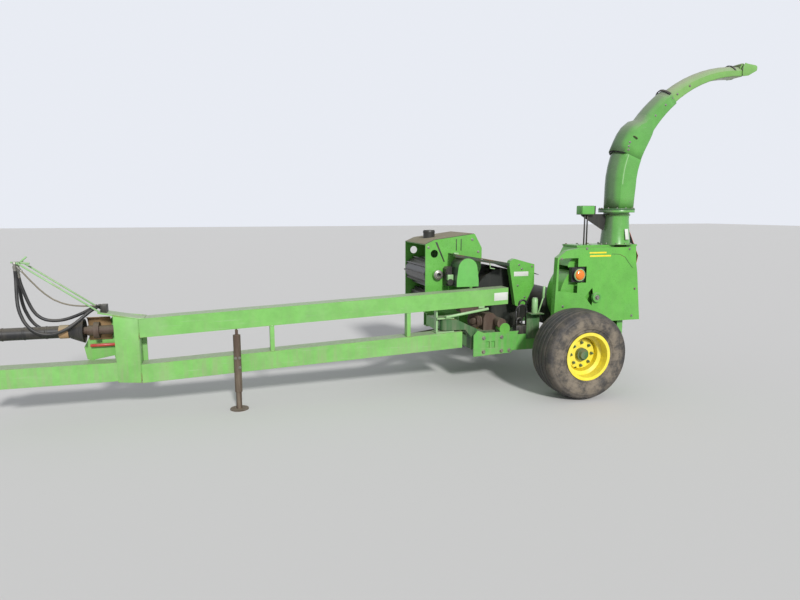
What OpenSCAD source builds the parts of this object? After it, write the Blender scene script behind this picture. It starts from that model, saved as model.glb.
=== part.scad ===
/* [Wheels] */
// Outer diameter of a tyre
tyre_d = 787; // [740:1:860]
// Width of a tyre over its sidewalls
tyre_w = 345; // [300:1:380]
// Thickness of a tyre's wall
tyre_wall = 17; // [12:1:22]
// Diameter of the bead seat on the rim
rim_seat_d = 381; // [370:1:400]
// Height of the rim flange above the bead seat
rim_flange_h = 20; // [14:1:24]
// Distance between the middles of the two wheels
track = 2200; // [2050:10:2500]
// Set-back of the wheel disc from the outer rim flange
disc_setback = 130; // [100:1:150]
// Number of studs in a wheel
stud_count = 8; // [6:1:10]

/* [Axle and frame] */
// Side of the square axle tube
axle_tube = 110; // [90:1:120]
// Diameter of the wheel spindle
spindle_d = 60; // [50:1:70]
// Width of a frame rail
rail_w = 100; // [80:1:110]
// Height of a frame rail
rail_h = 150; // [120:1:160]
// Wall of the frame rails and the tongue beams
tube_wall = 8; // [5:1:12]
// Height of the middle of the rails above the ground
rail_z = 410; // [400:1:430]
// Thickness of the heavy plates
plate_t = 12; // [8:1:16]
// Thickness of the sheet metal covers
sheet_t = 5; // [3:1:8]

/* [Tongue] */
// Side of the square tongue beams
beam = 152; // [140:1:160]
// Sideways place of the tongue from the middle of the machine
tongue_y = 510; // [490:1:530]
// Place of the swing pivot ahead of the axle
pivot_x = 1030; // [1000:1:1060]
// Height of the lower beam's middle at the axle
lower_beam_z = 498; // [490:1:505]
// Height of the upper beam's middle at the axle
upper_beam_z = 868; // [860:1:880]
// Fall of the beams towards the hitch, in degrees
beam_fall = 2.4; // [1.5:0.1:3]
// Front end of the two beams ahead of the axle
beam_front_x = 3640; // [3500:10:3900]
// Rear end of the lower beam ahead of the axle
lower_rear_x = 895; // [860:1:920]
// Rear end of the upper beam ahead of the axle
upper_rear_x = 440; // [430:1:470]
// Place of the hitch pin ahead of the axle
hitch_x = 4800; // [4600:10:5000]
// Height of the drawbar's middle
hitch_z = 375; // [360:1:390]
// Diameter of the hitch pin hole
hitch_pin_d = 33; // [25:1:40]
// Place of the jack ahead of the axle
jack_x = 2900; // [2700:10:3100]

/* [Feed housing] */
// Inside width between the side plates
feed_w = 640; // [600:10:680]
// Outer face of the left side plate
feed_left_y = 240; // [220:1:250]
// Diameter of the large upper front roll over its ribs
big_roll_d = 280; // [260:1:290]
// Diameter of the other rolls over their ribs
small_roll_d = 180; // [160:1:190]
// Number of ribs on a roll
rib_count = 10; // [8:1:14]
// Height of the gap between upper and lower rolls
throat_h = 40; // [25:1:60]

/* [Blower] */
// Place of the fan shaft behind the axle
fan_back = 350; // [330:1:370]
// Height of the fan shaft
fan_z = 830; // [810:1:850]
// Radius of the round blower casing
fan_case_r = 340; // [310:1:344]
// Width of the blower casing
fan_case_w = 240; // [200:1:260]
// Outer face of the belt shield from the middle of the machine
shield_y = 800; // [780:1:810]
// Depth of the belt shield
shield_depth = 58; // [45:1:59]
// Top of the blower outlet
blower_top_z = 1310; // [1290:1:1330]

/* [Spout] */
// Place of the spout's turning axis behind the axle
spout_back = 640; // [620:1:660]
// Sideways place of the spout's turning axis
spout_y = 650; // [630:1:670]
// Height of the turntable flange
turn_z = 1640; // [1600:1:1680]
// Diameter of the turntable flange
turn_d = 390; // [370:1:420]
// Radius of the spout's bend at its middle line
bend_r = 1000; // [900:10:1100]
// Angle through which the spout bends
bend_angle = 80; // [70:1:85]
// Length of the straight end of the spout
end_len = 470; // [400:10:600]
// Depth of the spout at its foot
foot_depth = 345; // [320:1:350]
// Depth of the spout at its end
tip_depth = 125; // [110:1:150]
// Width of the spout at its foot
foot_width = 300; // [280:1:320]
// Width of the spout at its end
tip_width = 210; // [180:1:240]
// Wall of the spout
spout_wall = 6; // [4:1:8]

/* [Hidden] */
$fn = 48;

// Clearance between a turning piece and what carries it
run_gap = 0.3;
// Overlap that makes two shapes of one piece into one solid
weld = 1;

wheel_r = tyre_d / 2;
rail_rear_x = -690;
arm_x0 = 695;
arm_x1 = 795;
left_rail_y = 570;
right_rail_y = -780;
arm_w = 120;
arm_top_z = 524;
rear_box_w = 120;
wagon_pin_d = 30;
pivot_pin_d = 50;
eye_r = 60;
eye_z0 = 548;
eye_z1 = 655;
feed_right_y = feed_left_y - feed_w - 2 * plate_t;
throat_z = 850;
roll_shaft_d = 40;
rib_h = 16;
// Middle in X and Z and the diameter of each roll
rolls = [
    [1020, throat_z + throat_h + big_roll_d / 2, big_roll_d],
    [1010, throat_z - small_roll_d / 2, small_roll_d],
    [752, throat_z + throat_h + small_roll_d / 2, small_roll_d],
    [752, throat_z - small_roll_d / 2, small_roll_d]
];
cutter_x = 330;
cutter_z = 760;
cutter_r = 310;
auger_x = -130;
auger_z = 690;
auger_r = 180;
panel_y = 400;
lamp_d = 120;
fan_y0 = 500;
neck_r = 112;
neck_z = 1540;
motor_x = -spout_back + 330;
bend_z = 1895;
step_angle = 25;
riser_rb = 130;
riser_rf = 40;
corner_steps = 4;
end_depth = 165;
end_width = 235;
flap_len = 250;
hinge_out = 14;
hinge_up = 14;
tip_x = -spout_back - bend_r * (1 - cos(bend_angle)) - end_len * sin(bend_angle);
tip_z = bend_z + bend_r * sin(bend_angle) + end_len * cos(bend_angle);
bracket_x = 860;
bracket_y = -60;
lug_x = 1750;
lug_y = 385;
swing_z = 415;
cyl_pin_d = 25;
rod_d = 38;
barrel_len = 620;
eye_play = 11;
upright_x = [1410, 2610];
shaft_z = 705;
holder_x = 4450;
holder_z = 1250;
shaft_joint_x = 3980;
bell_x = 4042;
pto_end_x = 5000;
rim_flange_r = rim_seat_d / 2 + rim_flange_h;
rim_w = tyre_w - 35;
disc_y = rim_w / 2 - disc_setback;
fall = tan(beam_fall);
hub_r = 75;
hub_y0 = -150;
front_x = pto_end_x;
rear_x = tip_x - flap_len * sin(bend_angle) + (-tip_depth / 2 + 28) * cos(bend_angle);

// Moves the machine so that its origin is on the ground under the middle of its box
module machine() {
    translate([-(front_x + rear_x) / 2, 0, 0]) children();
}

// Extrudes an outline drawn in X and Z from y0 towards the left by depth
module side_plate(y0, depth) {
    translate([0, y0 + depth, 0]) rotate([90, 0, 0]) linear_extrude(depth) children();
}

// Rod or tube along Y, from y0, centred on x and z
module cross_rod(x, y0, z, len, d) {
    translate([x, y0, z]) rotate([-90, 0, 0]) cylinder(h = len, d = d);
}

// Rod along X, from x0, centred on y and z
module long_rod(x0, y, z, len, d) {
    translate([x0, y, z]) rotate([0, 90, 0]) cylinder(h = len, d = d);
}

// Square tube along X from x0 to x1 about the line y, z
module tube_x(x0, x1, y, z, w, h, wall) {
    translate([x0, y, z]) difference() {
        translate([0, -w / 2, -h / 2]) cube([x1 - x0, w, h]);
        translate([-1, -w / 2 + wall, -h / 2 + wall]) cube([x1 - x0 + 2, w - 2 * wall, h - 2 * wall]);
    }
}

// Square tube along Y from y0 to y1 about the line x, z
module tube_y(y0, y1, x, z, w, h, wall) {
    translate([x, y0, z]) difference() {
        translate([-w / 2, 0, -h / 2]) cube([w, y1 - y0, h]);
        translate([-w / 2 + wall, -1, -h / 2 + wall]) cube([w - 2 * wall, y1 - y0 + 2, h - 2 * wall]);
    }
}

// Puts a wheel piece, drawn about Y with its outer side at +Y, on the left (1) or right (-1)
module at_wheel(side) {
    machine() translate([0, side * track / 2, wheel_r]) mirror([0, side < 0 ? 1 : 0, 0]) children();
}

// Turns a profile of radius and width into a ring about Y
module ring_about_y() {
    rotate([-90, 0, 0]) rotate_extrude($fn = 96) children();
}

groove_w = 9;
groove_depth = 10;
groove_at = [-96, -48, 0, 48, 96];
function crown(y) = wheel_r - 18 * pow(abs(y) / (tyre_w / 2 - 27), 2.4);

// Half of the tyre's outline as radius and width, pushed in by inset
function tyre_half(inset) = let (half = tyre_w / 2 - inset, seat = rim_seat_d / 2 + run_gap) [
    [seat, rim_w / 2 - 12 - inset], [seat + 30, rim_w / 2 - 5 - inset], [wheel_r * 0.65, half - 3],
    [wheel_r * 0.75, half], [wheel_r * 0.85, half - 6], [wheel_r * 0.93, half - 16],
    each [for (y = [half - 27 : -half / 4 : 0]) [crown(y) - inset, y]]];

function mirrored(half) = concat(half, [for (i = [len(half) - 1 : -1 : 0]) [half[i][0], -half[i][1]]]);

module tyre(side) {
    at_wheel(side) ring_about_y() difference() {
        polygon(mirrored(tyre_half(0)));
        polygon(mirrored(tyre_half(tyre_wall)));
        translate([0, -rim_w / 2 + 12 + tyre_wall]) square([rim_seat_d / 2 + 40, rim_w - 24 - 2 * tyre_wall]);
        for (y = groove_at) translate([crown(y) - groove_depth, y - groove_w / 2]) square([30, groove_w]);
    }
}

module tyre_left() { color("#2a2826") tyre(1); }
module tyre_right() { color("#2a2826") tyre(-1); }

stud_pcd = 205;
disc_t = 9;

module rim(side) {
    seat = rim_seat_d / 2;
    drop = 34;
    half = rim_w / 2;
    at_wheel(side) difference() {
        union() {
            ring_about_y() polygon([
                [rim_flange_r, -half - 6], [rim_flange_r, -half], [seat, -half], [seat - 3, -half + 60],
                [seat - drop, -half + 75], [seat - drop, half - 95], [seat - 3, half - 80], [seat, half],
                [rim_flange_r, half], [rim_flange_r, half + 6], [seat - 7, half + 6], [seat - 10, half - 78],
                [seat - drop - 7, half - 90], [seat - drop - 7, -half + 80], [seat - 10, -half + 58],
                [seat - 7, -half - 6]]);
            // wheel disc, dished towards the middle
            ring_about_y() polygon([
                [hub_r - 20, disc_y + 12], [130, disc_y + 12], [seat - drop - 6, disc_y - 16],
                [seat - drop - 6, disc_y - 16 - disc_t], [128, disc_y + 12 - disc_t], [hub_r - 20, disc_y + 12 - disc_t]]);
        }
        for (i = [0 : stud_count - 1]) rotate([0, i * 360 / stud_count, 0])
            translate([stud_pcd / 2, disc_y - 30, 0]) rotate([-90, 0, 0]) cylinder(h = 80, d = 17);
        // slot for the valve
        rotate([0, 70, 0]) translate([seat - drop - 25, disc_y - 40, 0]) rotate([-90, 0, 0]) cylinder(h = 80, d = 22);
    }
}

module rim_left() { color("#f0c808") rim(1); }
module rim_right() { color("#f0c808") rim(-1); }

module hub(side) {
    at_wheel(side) difference() {
        union() {
            ring_about_y() polygon([
                [spindle_d / 2 + run_gap, disc_y + hub_y0], [70, disc_y + hub_y0], [hub_r - 10, disc_y - 60],
                [128, disc_y - 12], [128, disc_y + 12 - disc_t], [hub_r - 21, disc_y + 12 - disc_t],
                [hub_r - 21, disc_y + 48], [42, disc_y + 48], [36, disc_y + 74], [0, disc_y + 78],
                [0, disc_y + 68], [spindle_d / 2 + run_gap, disc_y + 66]]);
            for (i = [0 : stud_count - 1]) rotate([0, i * 360 / stud_count, 0]) {
                translate([stud_pcd / 2, disc_y - 8, 0]) rotate([-90, 0, 0]) cylinder(h = 48, d = 14);
                translate([stud_pcd / 2, disc_y + 12, 0]) rotate([-90, 0, 0]) cylinder(h = 16, d = 27, $fn = 6);
            }
        }
    }
}

module hub_left() { color("#2f6f2c") hub(1); }
module hub_right() { color("#2f6f2c") hub(-1); }

spindle_end = track / 2 + disc_y + 50;

module axle() {
    color("#2f7d32") machine() for (side = [-1, 1]) {
        y_rail = side > 0 ? left_rail_y + rail_w / 2 : -right_rail_y + rail_w / 2;
        y_tube = track / 2 - 140;
        mirror([0, side < 0 ? 1 : 0, 0]) {
            tube_y(y_rail, y_tube, 0, wheel_r, axle_tube, axle_tube, tube_wall);
            translate([-80, y_rail, wheel_r - 50]) cube([160, plate_t, 120]);
            translate([-axle_tube / 2, y_tube - plate_t, wheel_r - axle_tube / 2]) cube([axle_tube, plate_t, axle_tube]);
            cross_rod(0, y_tube - plate_t, wheel_r, spindle_end - y_tube + plate_t, spindle_d);
        }
    }
}

module main_frame() {
    color("#3a9a3c") machine() {
        // left and right rails
        tube_x(rail_rear_x, arm_x0, left_rail_y, rail_z, rail_w, rail_h, tube_wall);
        tube_x(rail_rear_x, arm_x1, right_rail_y, rail_z, rail_w, rail_h, tube_wall);
        // cross members at the front, over the axle and at the rear
        tube_y(right_rail_y + rail_w / 2 - weld, tongue_y - arm_w / 2, (arm_x0 + arm_x1) / 2, rail_z, 100, 110, tube_wall);
        for (x = [0, rail_rear_x + 55])
            tube_y(right_rail_y + rail_w / 2 - weld, left_rail_y - rail_w / 2 + weld, x, wheel_r, axle_tube, axle_tube, tube_wall);
        // plate at the front of the left rail, with two square holes
        side_plate(left_rail_y + rail_w / 2 - weld, plate_t + weld) difference() {
            polygon([[800, 300], [800, 500], [760, 545], [700, 520], [345, 520], [420, 318]]);
            for (x = [585, 640]) translate([x, 375]) square([38, 62]);
        }
        // boxed end of the left rail
        difference() {
            side_plate(left_rail_y + rail_w / 2 - weld, rear_box_w) polygon(
                [[-650, 345], [-650, 590], [rail_rear_x - 20, 590], [rail_rear_x - 20, 345]]);
            side_plate(left_rail_y + rail_w / 2 + 8, rear_box_w - 20) polygon(
                [[-640, 300], [-640, 580], [rail_rear_x - 10, 580], [rail_rear_x - 10, 300]]);
        }
    }
}

module swing_arm() {
    color("#2b7a2e") machine() difference() {
        union() {
            side_plate(tongue_y - arm_w / 2, arm_w) polygon([
                [pivot_x, eye_z0], [pivot_x, eye_z1], [pivot_x - 80, eye_z1 - 6], [760, 556], [690, arm_top_z], [560, arm_top_z],
                [560, rail_z + rail_h / 2], [arm_x0, rail_z + rail_h / 2], [arm_x0, rail_z - 55],
                [arm_x1, rail_z - 55], [arm_x1, 470], [860, eye_z0]]);
            translate([pivot_x, tongue_y, eye_z0]) cylinder(h = eye_z1 - eye_z0, r = eye_r);
        }
        translate([pivot_x, tongue_y, eye_z0 - 1]) cylinder(h = eye_z1 - eye_z0 + 2, r = pivot_pin_d / 2 + run_gap);
    }
}

module wagon_hitch() {
    color("#3a9a3c") machine() difference() {
        union() {
            for (z = [rail_z - 30, rail_z + 30 - plate_t]) translate([rail_rear_x - 150, -60, z]) cube([150 - 2, 120, plate_t]);
            translate([rail_rear_x - 15 - run_gap, -90, wheel_r - 50]) cube([15, 180, 100]);
        }
        translate([rail_rear_x - 105, 0, rail_z - 80]) cylinder(h = 160, d = wagon_pin_d);
    }
}

module feed_side(y0, depth) {
    side_plate(y0, depth) difference() {
        polygon([[1140, 660], [1140, 1320], [1050, 1360], [640, 1415], [570, 1280], [570, 1080], [655, 900], [655, 660],
                 [arm_x0, 620], [arm_x0, rail_z + 55], [arm_x1, rail_z + 55], [arm_x1, 620], [880, 660]]);
        for (r = rolls) translate([r[0], r[1]]) circle(d = roll_shaft_d + 2 * run_gap);
        translate([1050, 1230]) circle(r = 38);
    }
}

module feed_housing() {
    color("#46b044") machine() {
        feed_side(feed_left_y - plate_t, plate_t);
        feed_side(feed_right_y, plate_t);
        // bearing of each roll, outside the plates
        for (r = rolls, y = [feed_left_y - weld, feed_right_y - 22]) difference() {
            cross_rod(r[0], y, r[1], 22 + weld, 100);
            cross_rod(r[0], y - 5, r[1], 40, roll_shaft_d + 2 * run_gap);
        }
        // top and floor, from side to side
        side_plate(feed_right_y + plate_t - weld, feed_w + 2 * weld) {
            polygon([[1135, 1318], [1050, 1355], [640, 1410], [638, 1404], [1048, 1349], [1133, 1312]]);
            polygon([[1135, 662], [656, 662], [656, 668], [1135, 668]]);
        }
    }
}

module feed_hood() {
    color("#46b044") machine() side_plate(feed_right_y + plate_t + run_gap, feed_w - 2 * run_gap) polygon([
        [637.5, 1409.5], [630, 1409], [558, 1278], [558, cover_top(558) + run_gap], [564, cover_top(564) + run_gap],
        [564, 1276], [634, 1403], [637, 1403.5]]);
}

module feed_gearcase() {
    color("#3c3c38") machine() {
        side_plate(feed_left_y, 90) polygon([[965, 930], [965, 1090], [945, 1110], [905, 1110], [905, 930]]);
        cross_rod(938, feed_left_y + 89, 1050, 30, 50);
        cross_rod(935, feed_left_y + 89, 970, 45, 60);
    }
}

module roll_drive_hood() {
    color("#3f9f3d") machine() difference() {
        side_plate(feed_left_y, 205) hood_outline(0);
        side_plate(feed_left_y - 1, 200) hood_outline(sheet_t);
    }
}

module hood_outline(inset) {
    hull() {
        translate([680 + inset, 930 - inset * 2]) square([220 - 2 * inset, 60]);
        translate([790, 1100]) circle(r = 95 - inset);
    }
}

module roll(x, z, d, color_name) {
    color(color_name) machine() {
        len = feed_w - 20;
        y0 = feed_left_y - plate_t - 10 - len;
        cross_rod(x, y0, z, len, d - 2 * rib_h);
        for (i = [0 : rib_count - 1]) translate([x, y0, z]) rotate([0, i * 360 / rib_count, 0])
            translate([d / 2 - rib_h - 6, 0, -7]) cube([rib_h + 6, len, 14]);
        cross_rod(x, feed_right_y - 15, z, feed_w + 2 * plate_t + 30, roll_shaft_d);
    }
}

module upper_front_roll() { roll(rolls[0][0], rolls[0][1], rolls[0][2], "#3a3a3a"); }
module lower_front_roll() { roll(rolls[1][0], rolls[1][1], rolls[1][2], "#3a3a3a"); }
module upper_rear_roll() { roll(rolls[2][0], rolls[2][1], rolls[2][2], "#4a4a48"); }
module lower_rear_roll() { roll(rolls[3][0], rolls[3][1], rolls[3][2], "#4a4a48"); }

module cutter_housing() {
    color("#2d3a2d") machine() {
        cross_rod(cutter_x, feed_right_y, cutter_z, feed_w + 2 * plate_t, 2 * cutter_r);
        // trough of the cross auger, up to the blower
        cross_rod(auger_x, feed_right_y, auger_z, fan_y0 - feed_right_y, 2 * auger_r);
    }
}

module cutter_cover() {
    color("#3d7d38") machine() {
        // shelf over the drive on the left side
        side_plate(feed_left_y + run_gap, 190) polygon([
            [910, cover_top(910)], [355, cover_top(355)], [355, cover_top(355) - sheet_t], [910, cover_top(910) - sheet_t]]);
        // cover over the cutting drum, from side to side
        side_plate(feed_right_y, feed_w + 2 * plate_t + 80) polygon([
            [565, cover_top(565)], [300, cover_top(300)], [-20, 1010], [-24, 1005], [298, cover_top(300) - sheet_t],
            [565, cover_top(565) - sheet_t]]);
    }
}
function cover_top(x) = x > 640 ? 1186 + (x - 640) * 50 / 270 : 1130 + (x - 300) * 56 / 340;

module control_shield() {
    color("#46b044") machine() {
        difference() {
            side_plate(panel_y - 60, 60) panel_outline();
            side_plate(panel_y - 61, 61 - sheet_t) panel_outline_in();
        }
        // stand-offs from the side of the cutter housing
        for (z = [830, 960]) cross_rod(200, feed_left_y + run_gap, z, panel_y - feed_left_y - sheet_t / 2, 30);
    }
}

module panel_outline() {
    polygon([[345, 1130], [330, 1160], [290, 1178], [75, 1120], [72, 920], [135, 790], [170, 720], [240, 712], [270, 725]]);
}

module panel_outline_in() {
    polygon([[328, 1120], [316, 1152], [282, 1168], [80, 1112], [77, 922], [135, 800], [168, 732], [235, 724], [258, 735]]);
}

module main_gearbox() {
    color("#6b4a35") machine() {
        side_plate(tongue_y - 180, 200) polygon([[520, arm_top_z + run_gap], [520, 640], [560, 680], [640, 680], [660, 640], [660, arm_top_z + run_gap]]);
        long_rod(660, tongue_y - 60, 600, 50, 110);
        long_rod(710, tongue_y - 60, 600, 40, 60);
        cross_rod(520, tongue_y + 20, 600, 100, 90);
    }
}

module shaft_guard() {
    color("#5a4433") machine() side_plate(tongue_y - 65, 130) polygon([
        [700, upper_bottom(700) - run_gap], [920, upper_bottom(920) - run_gap], [900, 705], [720, 705]]);
}

module casing_outline(inset) {
    union() {
        translate([-fan_back, fan_z]) circle(r = fan_case_r - inset);
        polygon([[-180 - inset, blower_top_z - inset], [-815 + inset, blower_top_z - inset], [-815 + inset, 1130],
                 [-fan_back - fan_case_r + inset, fan_z], [-fan_back, fan_z], [-80, 1130]]);
    }
}

module blower_housing() {
    color("#3fa23e") machine() difference() {
        union() {
            side_plate(fan_y0, fan_case_w) casing_outline(0);
            // top plate with its bolted edge
            translate([-825, fan_y0 - 10, blower_top_z - 8]) cube([655, fan_case_w + 10, 16]);
        }
        side_plate(fan_y0 + sheet_t, fan_case_w - 2 * sheet_t) casing_outline(sheet_t);
        translate([-spout_back, spout_y, blower_top_z - 40]) cylinder(h = 60, r = neck_r);
    }
}

module shield_outline(inset) {
    polygon([[80 - inset, 620 + inset], [60 - inset, 1210 - inset / 2], [-30, 1275 - inset], [-180, blower_top_z - 12 - inset],
             [-770 + inset, blower_top_z - 12 - inset], [-785 + inset, 1130], [-800 + inset, 1050],
             [-850 + inset, 600 + inset], [-420, 600 + inset]]);
}

module belt_shield() {
    color("#4cb648") machine() difference() {
        side_plate(shield_y - shield_depth, shield_depth) shield_outline(0);
        side_plate(shield_y - shield_depth - 1, shield_depth + 1 - sheet_t) shield_outline(sheet_t);
        // opening for the lamp
        side_plate(shield_y - 30, 40) polygon([
            [45, 905], [45, 1195], [-30, 1205], [-155, 1205], [-155, 1125], [-245, 1125], [-245, 975], [-155, 975], [-155, 880]]);
        // cut-out at the fan shaft
        side_plate(shield_y - 30, 40) polygon([[-240, 840], [-315, 925], [-330, 840], [-315, 755]]);
    }
}

module lamp(x, y, z, side) {
    color("#20231f") machine() translate([x, y, z]) mirror([0, side < 0 ? 1 : 0, 0]) {
        translate([-lamp_d / 2 - 8, run_gap, -lamp_d / 2 - 8]) cube([lamp_d + 16, 48, lamp_d + 16]);
        cross_rod(0, 40, 0, 34, lamp_d);
    }
}

module lamp_left() { lamp(-165, fan_y0 + fan_case_w, 1050, 1); }

module lamp_right() { lamp(-200, feed_right_y, 780, -1); }

module rear_emblem() {
    color("#8e3a22") machine() {
        translate([-852, fan_y0 + 40, 1105]) rotate([90, 0, 90]) linear_extrude(3)
            polygon([[-190, 105], [-165, 0], [165, 0], [190, 105], [22, 365], [-22, 365]]);
        translate([-850, fan_y0 + 20, 1160]) cube([850 - 815 - run_gap, 40, 120]);
    }
}

module spout_base() {
    color("#46ad44") machine() translate([-spout_back, spout_y, 0]) rotate_extrude($fn = 96) polygon([
        [neck_r + 50, blower_top_z + 8], [neck_r + 60, blower_top_z + 8], [neck_r + 60, blower_top_z + 16],
        [neck_r + 44, blower_top_z + 16], [neck_r + 6, neck_z], [neck_r + 6, turn_z - 28], [turn_d / 2, turn_z - 28],
        [turn_d / 2, turn_z], [neck_r, turn_z], [neck_r, neck_z], [neck_r + 38, blower_top_z + 8]]);
}

module spout_motor() {
    color("#35393a") machine() {
        translate([motor_x - 70, spout_y - 50, turn_z - 40]) cube([140, 100, 80]);
        side_plate(spout_y - 6, plate_t) polygon([
            [-spout_back + neck_r + 26, turn_z - 190], [-spout_back + neck_r + 7, neck_z], [-spout_back + neck_r + 7, turn_z - 35],
            [motor_x + 50, turn_z - 35], [motor_x + 50, turn_z - 50]]);
    }
}

// Outline of the spout across its path: depth d, width w, back corners rb, front corners rf
function corner(cx, cy, r, a0) = [for (i = [0 : corner_steps]) let (a = a0 + 90 * i / corner_steps)
    [cx + r * cos(a), cy + r * sin(a)]];
function section(d, w, rb, rf) = concat(
    corner(d / 2 - rb, w / 2 - rb, rb, 0), corner(-d / 2 + rf, w / 2 - rf, rf, 90),
    corner(-d / 2 + rf, -w / 2 + rf, rf, 180), corner(d / 2 - rb, -w / 2 + rb, rb, 270));

// Places an outline at angle a of the bend, then s along the straight end
function on_path(points, a, s, off = 0) = [for (p = points)
    let (r = bend_r + p[0] + off, x = -spout_back - bend_r + r * cos(a) - s * sin(a), z = bend_z + r * sin(a) + s * cos(a))
    [x, spout_y + p[1], z]];

// Closed wall between rings of points, each ring given outside and inside
module shell(outer, inner) {
    n = len(outer[0]);
    m = len(outer);
    o = n * m;
    e = (m - 1) * n;
    quads = concat(
        [for (j = [0 : m - 2], i = [0 : n - 1]) let (k = (i + 1) % n, a = j * n)
            [a + i, a + n + i, a + n + k, a + k]],
        [for (j = [0 : m - 2], i = [0 : n - 1]) let (k = (i + 1) % n, a = o + j * n)
            [a + i, a + k, a + n + k, a + n + i]],
        [for (i = [0 : n - 1]) let (k = (i + 1) % n) [i, k, o + k, o + i]],
        [for (i = [0 : n - 1]) let (k = (i + 1) % n) [e + i, o + e + i, o + e + k, e + k]]);
    polyhedron([each [for (r = outer) each r], each [for (r = inner) each r]],
        [for (q = quads) each [[q[0], q[1], q[2]], [q[0], q[2], q[3]]]], convexity = 6);
}

// One stretch of the spout from a table of angle, run, depth, width, back corner, front corner and outward shift
module spout_stretch(rows, wall) {
    shell([for (q = rows) on_path(section(q[2], q[3], q[4], q[5]), q[0], q[1], q[6])],
          [for (q = rows)
              on_path(section(q[2] - 2 * wall, q[3] - 2 * wall, q[4] - wall, q[5] - wall), q[0], q[1], q[6])]);
}

function mix(a, b, t) = a + (b - a) * t;

module spout_riser() {
    color("#2f8f33") machine() {
        // flat ring that turns on the base
        translate([-spout_back, spout_y, turn_z + run_gap]) difference() {
            cylinder(h = 16, d = turn_d, $fn = 96);
            translate([0, 0, -1]) cylinder(h = 18, r = neck_r, $fn = 96);
        }
        shell(
            [for (q = riser_table) riser_ring(q, 0)],
            [for (q = riser_table) riser_ring(q, spout_wall)]);
    }
}

// Rows of height above the turntable or angle, and a blend from round (0) to boxed (1)
riser_table = concat(
    [for (z = [0, 80, 170, 240]) [z, 0, min(1, z / 170)]],
    [for (a = [5, 10, 15, step_angle - 4, step_angle]) [0, a, 1]]);
function riser_ring(q, wall) =
    let (d = foot_depth - 2 * wall, w = mix(foot_depth, foot_width, q[2]) - 2 * wall,
         rb = mix(foot_depth / 2, riser_rb, q[2]) - wall, rf = mix(foot_depth / 2, riser_rf, q[2]) - wall,
         s = section(d, w, min(rb, d / 2 - 0.1, w / 2 - 0.1), min(rf, d / 2 - 0.1, w / 2 - 0.1)))
    q[1] > 0 ? on_path(s, q[1], 0)
             : [for (p = s) [-spout_back + p[0], spout_y + p[1], turn_z + run_gap + 15 + q[0] * (bend_z - turn_z - 15) / 240]];

// The bend starts as a lip inside the riser, steps in at its back and then narrows to the end
lip_depth = foot_depth - 2 * spout_wall - 2 * run_gap;
lip_width = foot_width - 2 * spout_wall - 2 * run_gap;
step_in = 56;
bend_rows = concat(
    [for (a = [step_angle - 4, step_angle]) [a, 0, lip_depth, lip_width, riser_rb - spout_wall, riser_rf - spout_wall, 0]],
    [for (i = [0 : 9]) let (t = i / 9)
        [mix(step_angle + 3, bend_angle, t), 0, mix(lip_depth - step_in, end_depth, t), mix(lip_width, end_width, t),
         mix(100, 40, t), mix(riser_rf - spout_wall, 12, t), mix(-step_in / 2, 0, t)]]);

module spout_bend() { color("#46ad44") machine() spout_stretch(bend_rows, spout_wall); }

module spout_end() {
    color("#52bd4c") machine() {
        spout_stretch([for (t = [0 : 0.25 : 1])
            [bend_angle, mix(run_gap, end_len, t), mix(end_depth, tip_depth, t), mix(end_width, tip_width, t),
             mix(40, 30, t), 12, 0]], spout_wall);
        // ears and pin of the flap's hinge
        at_tip() {
            for (s = [-1, 1]) translate([0, s * (tip_width / 2 - 22) - 5, 0]) rotate([-90, 0, 0]) linear_extrude(10)
                polygon([[40, -tip_depth / 2 + 3], [-hinge_out - 10, -tip_depth / 2 - hinge_up + 6],
                         [-hinge_out, -tip_depth / 2 - hinge_up - 9], [40, -tip_depth / 2 - 2]]);
            translate([-hinge_out, -tip_width / 2 + 16, tip_depth / 2 + hinge_up]) rotate([-90, 0, 0])
                cylinder(h = tip_width - 32, d = 10);
        }
    }
}

// Frame at the spout's tip: X back along the path, Z square to it
module at_tip() {
    translate([tip_x, spout_y, tip_z]) rotate([0, 90 - bend_angle, 0]) children();
}

module deflector() {
    wing_y = tip_width / 2 + 6;
    z_hinge = tip_depth / 2 + hinge_up;
    color("#52bd4c") machine() at_tip() {
        difference() {
            union() {
                // wings outside the spout's walls
                for (s = [-1, 1]) translate([0, s * wing_y + (s > 0 ? 0 : -sheet_t), 0]) rotate([90, 0, 0])
                    translate([0, 0, -sheet_t]) linear_extrude(sheet_t) polygon([
                        [-hinge_out + 14, z_hinge + 8], [-flap_len, z_hinge + 4], [-flap_len, -tip_depth / 2 + 28],
                        [-40, -tip_depth / 2 - 6], [-hinge_out + 14, z_hinge - 40]]);
                translate([-flap_len, -wing_y - 1, z_hinge - 1]) cube([flap_len - hinge_out - 16, 2 * wing_y + 2, sheet_t]);
                // barrel on the hinge pin
                translate([-hinge_out, -tip_width / 2 + 34, z_hinge]) rotate([-90, 0, 0]) cylinder(h = tip_width - 68, d = 22);
                translate([-hinge_out - 22, -tip_width / 2 + 34, z_hinge - 1]) cube([24, tip_width - 68, sheet_t]);
            }
            translate([-hinge_out, -tip_width / 2, z_hinge]) rotate([-90, 0, 0]) cylinder(h = tip_width, d = 10 + 2 * run_gap);
        }
    }
}

function beam_z(x, z0) = z0 - x * fall;
beam_half = beam / 2 / cos(beam_fall);

module beam_between(x0, x1, z0) {
    difference() {
        side_plate(tongue_y - beam / 2, beam) polygon([
            [x0, beam_z(x0, z0) - beam_half], [x1, beam_z(x1, z0) - beam_half],
            [x1, beam_z(x1, z0) + beam_half], [x0, beam_z(x0, z0) + beam_half]]);
        side_plate(tongue_y - beam / 2 + tube_wall, beam - 2 * tube_wall) polygon([
            for (p = [[x0 - 5, -1], [x1 + 5, -1], [x1 + 5, 1], [x0 - 5, 1]])
                [p[0], beam_z(p[0], z0) + p[1] * (beam_half - tube_wall)]]);
    }
}

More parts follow.
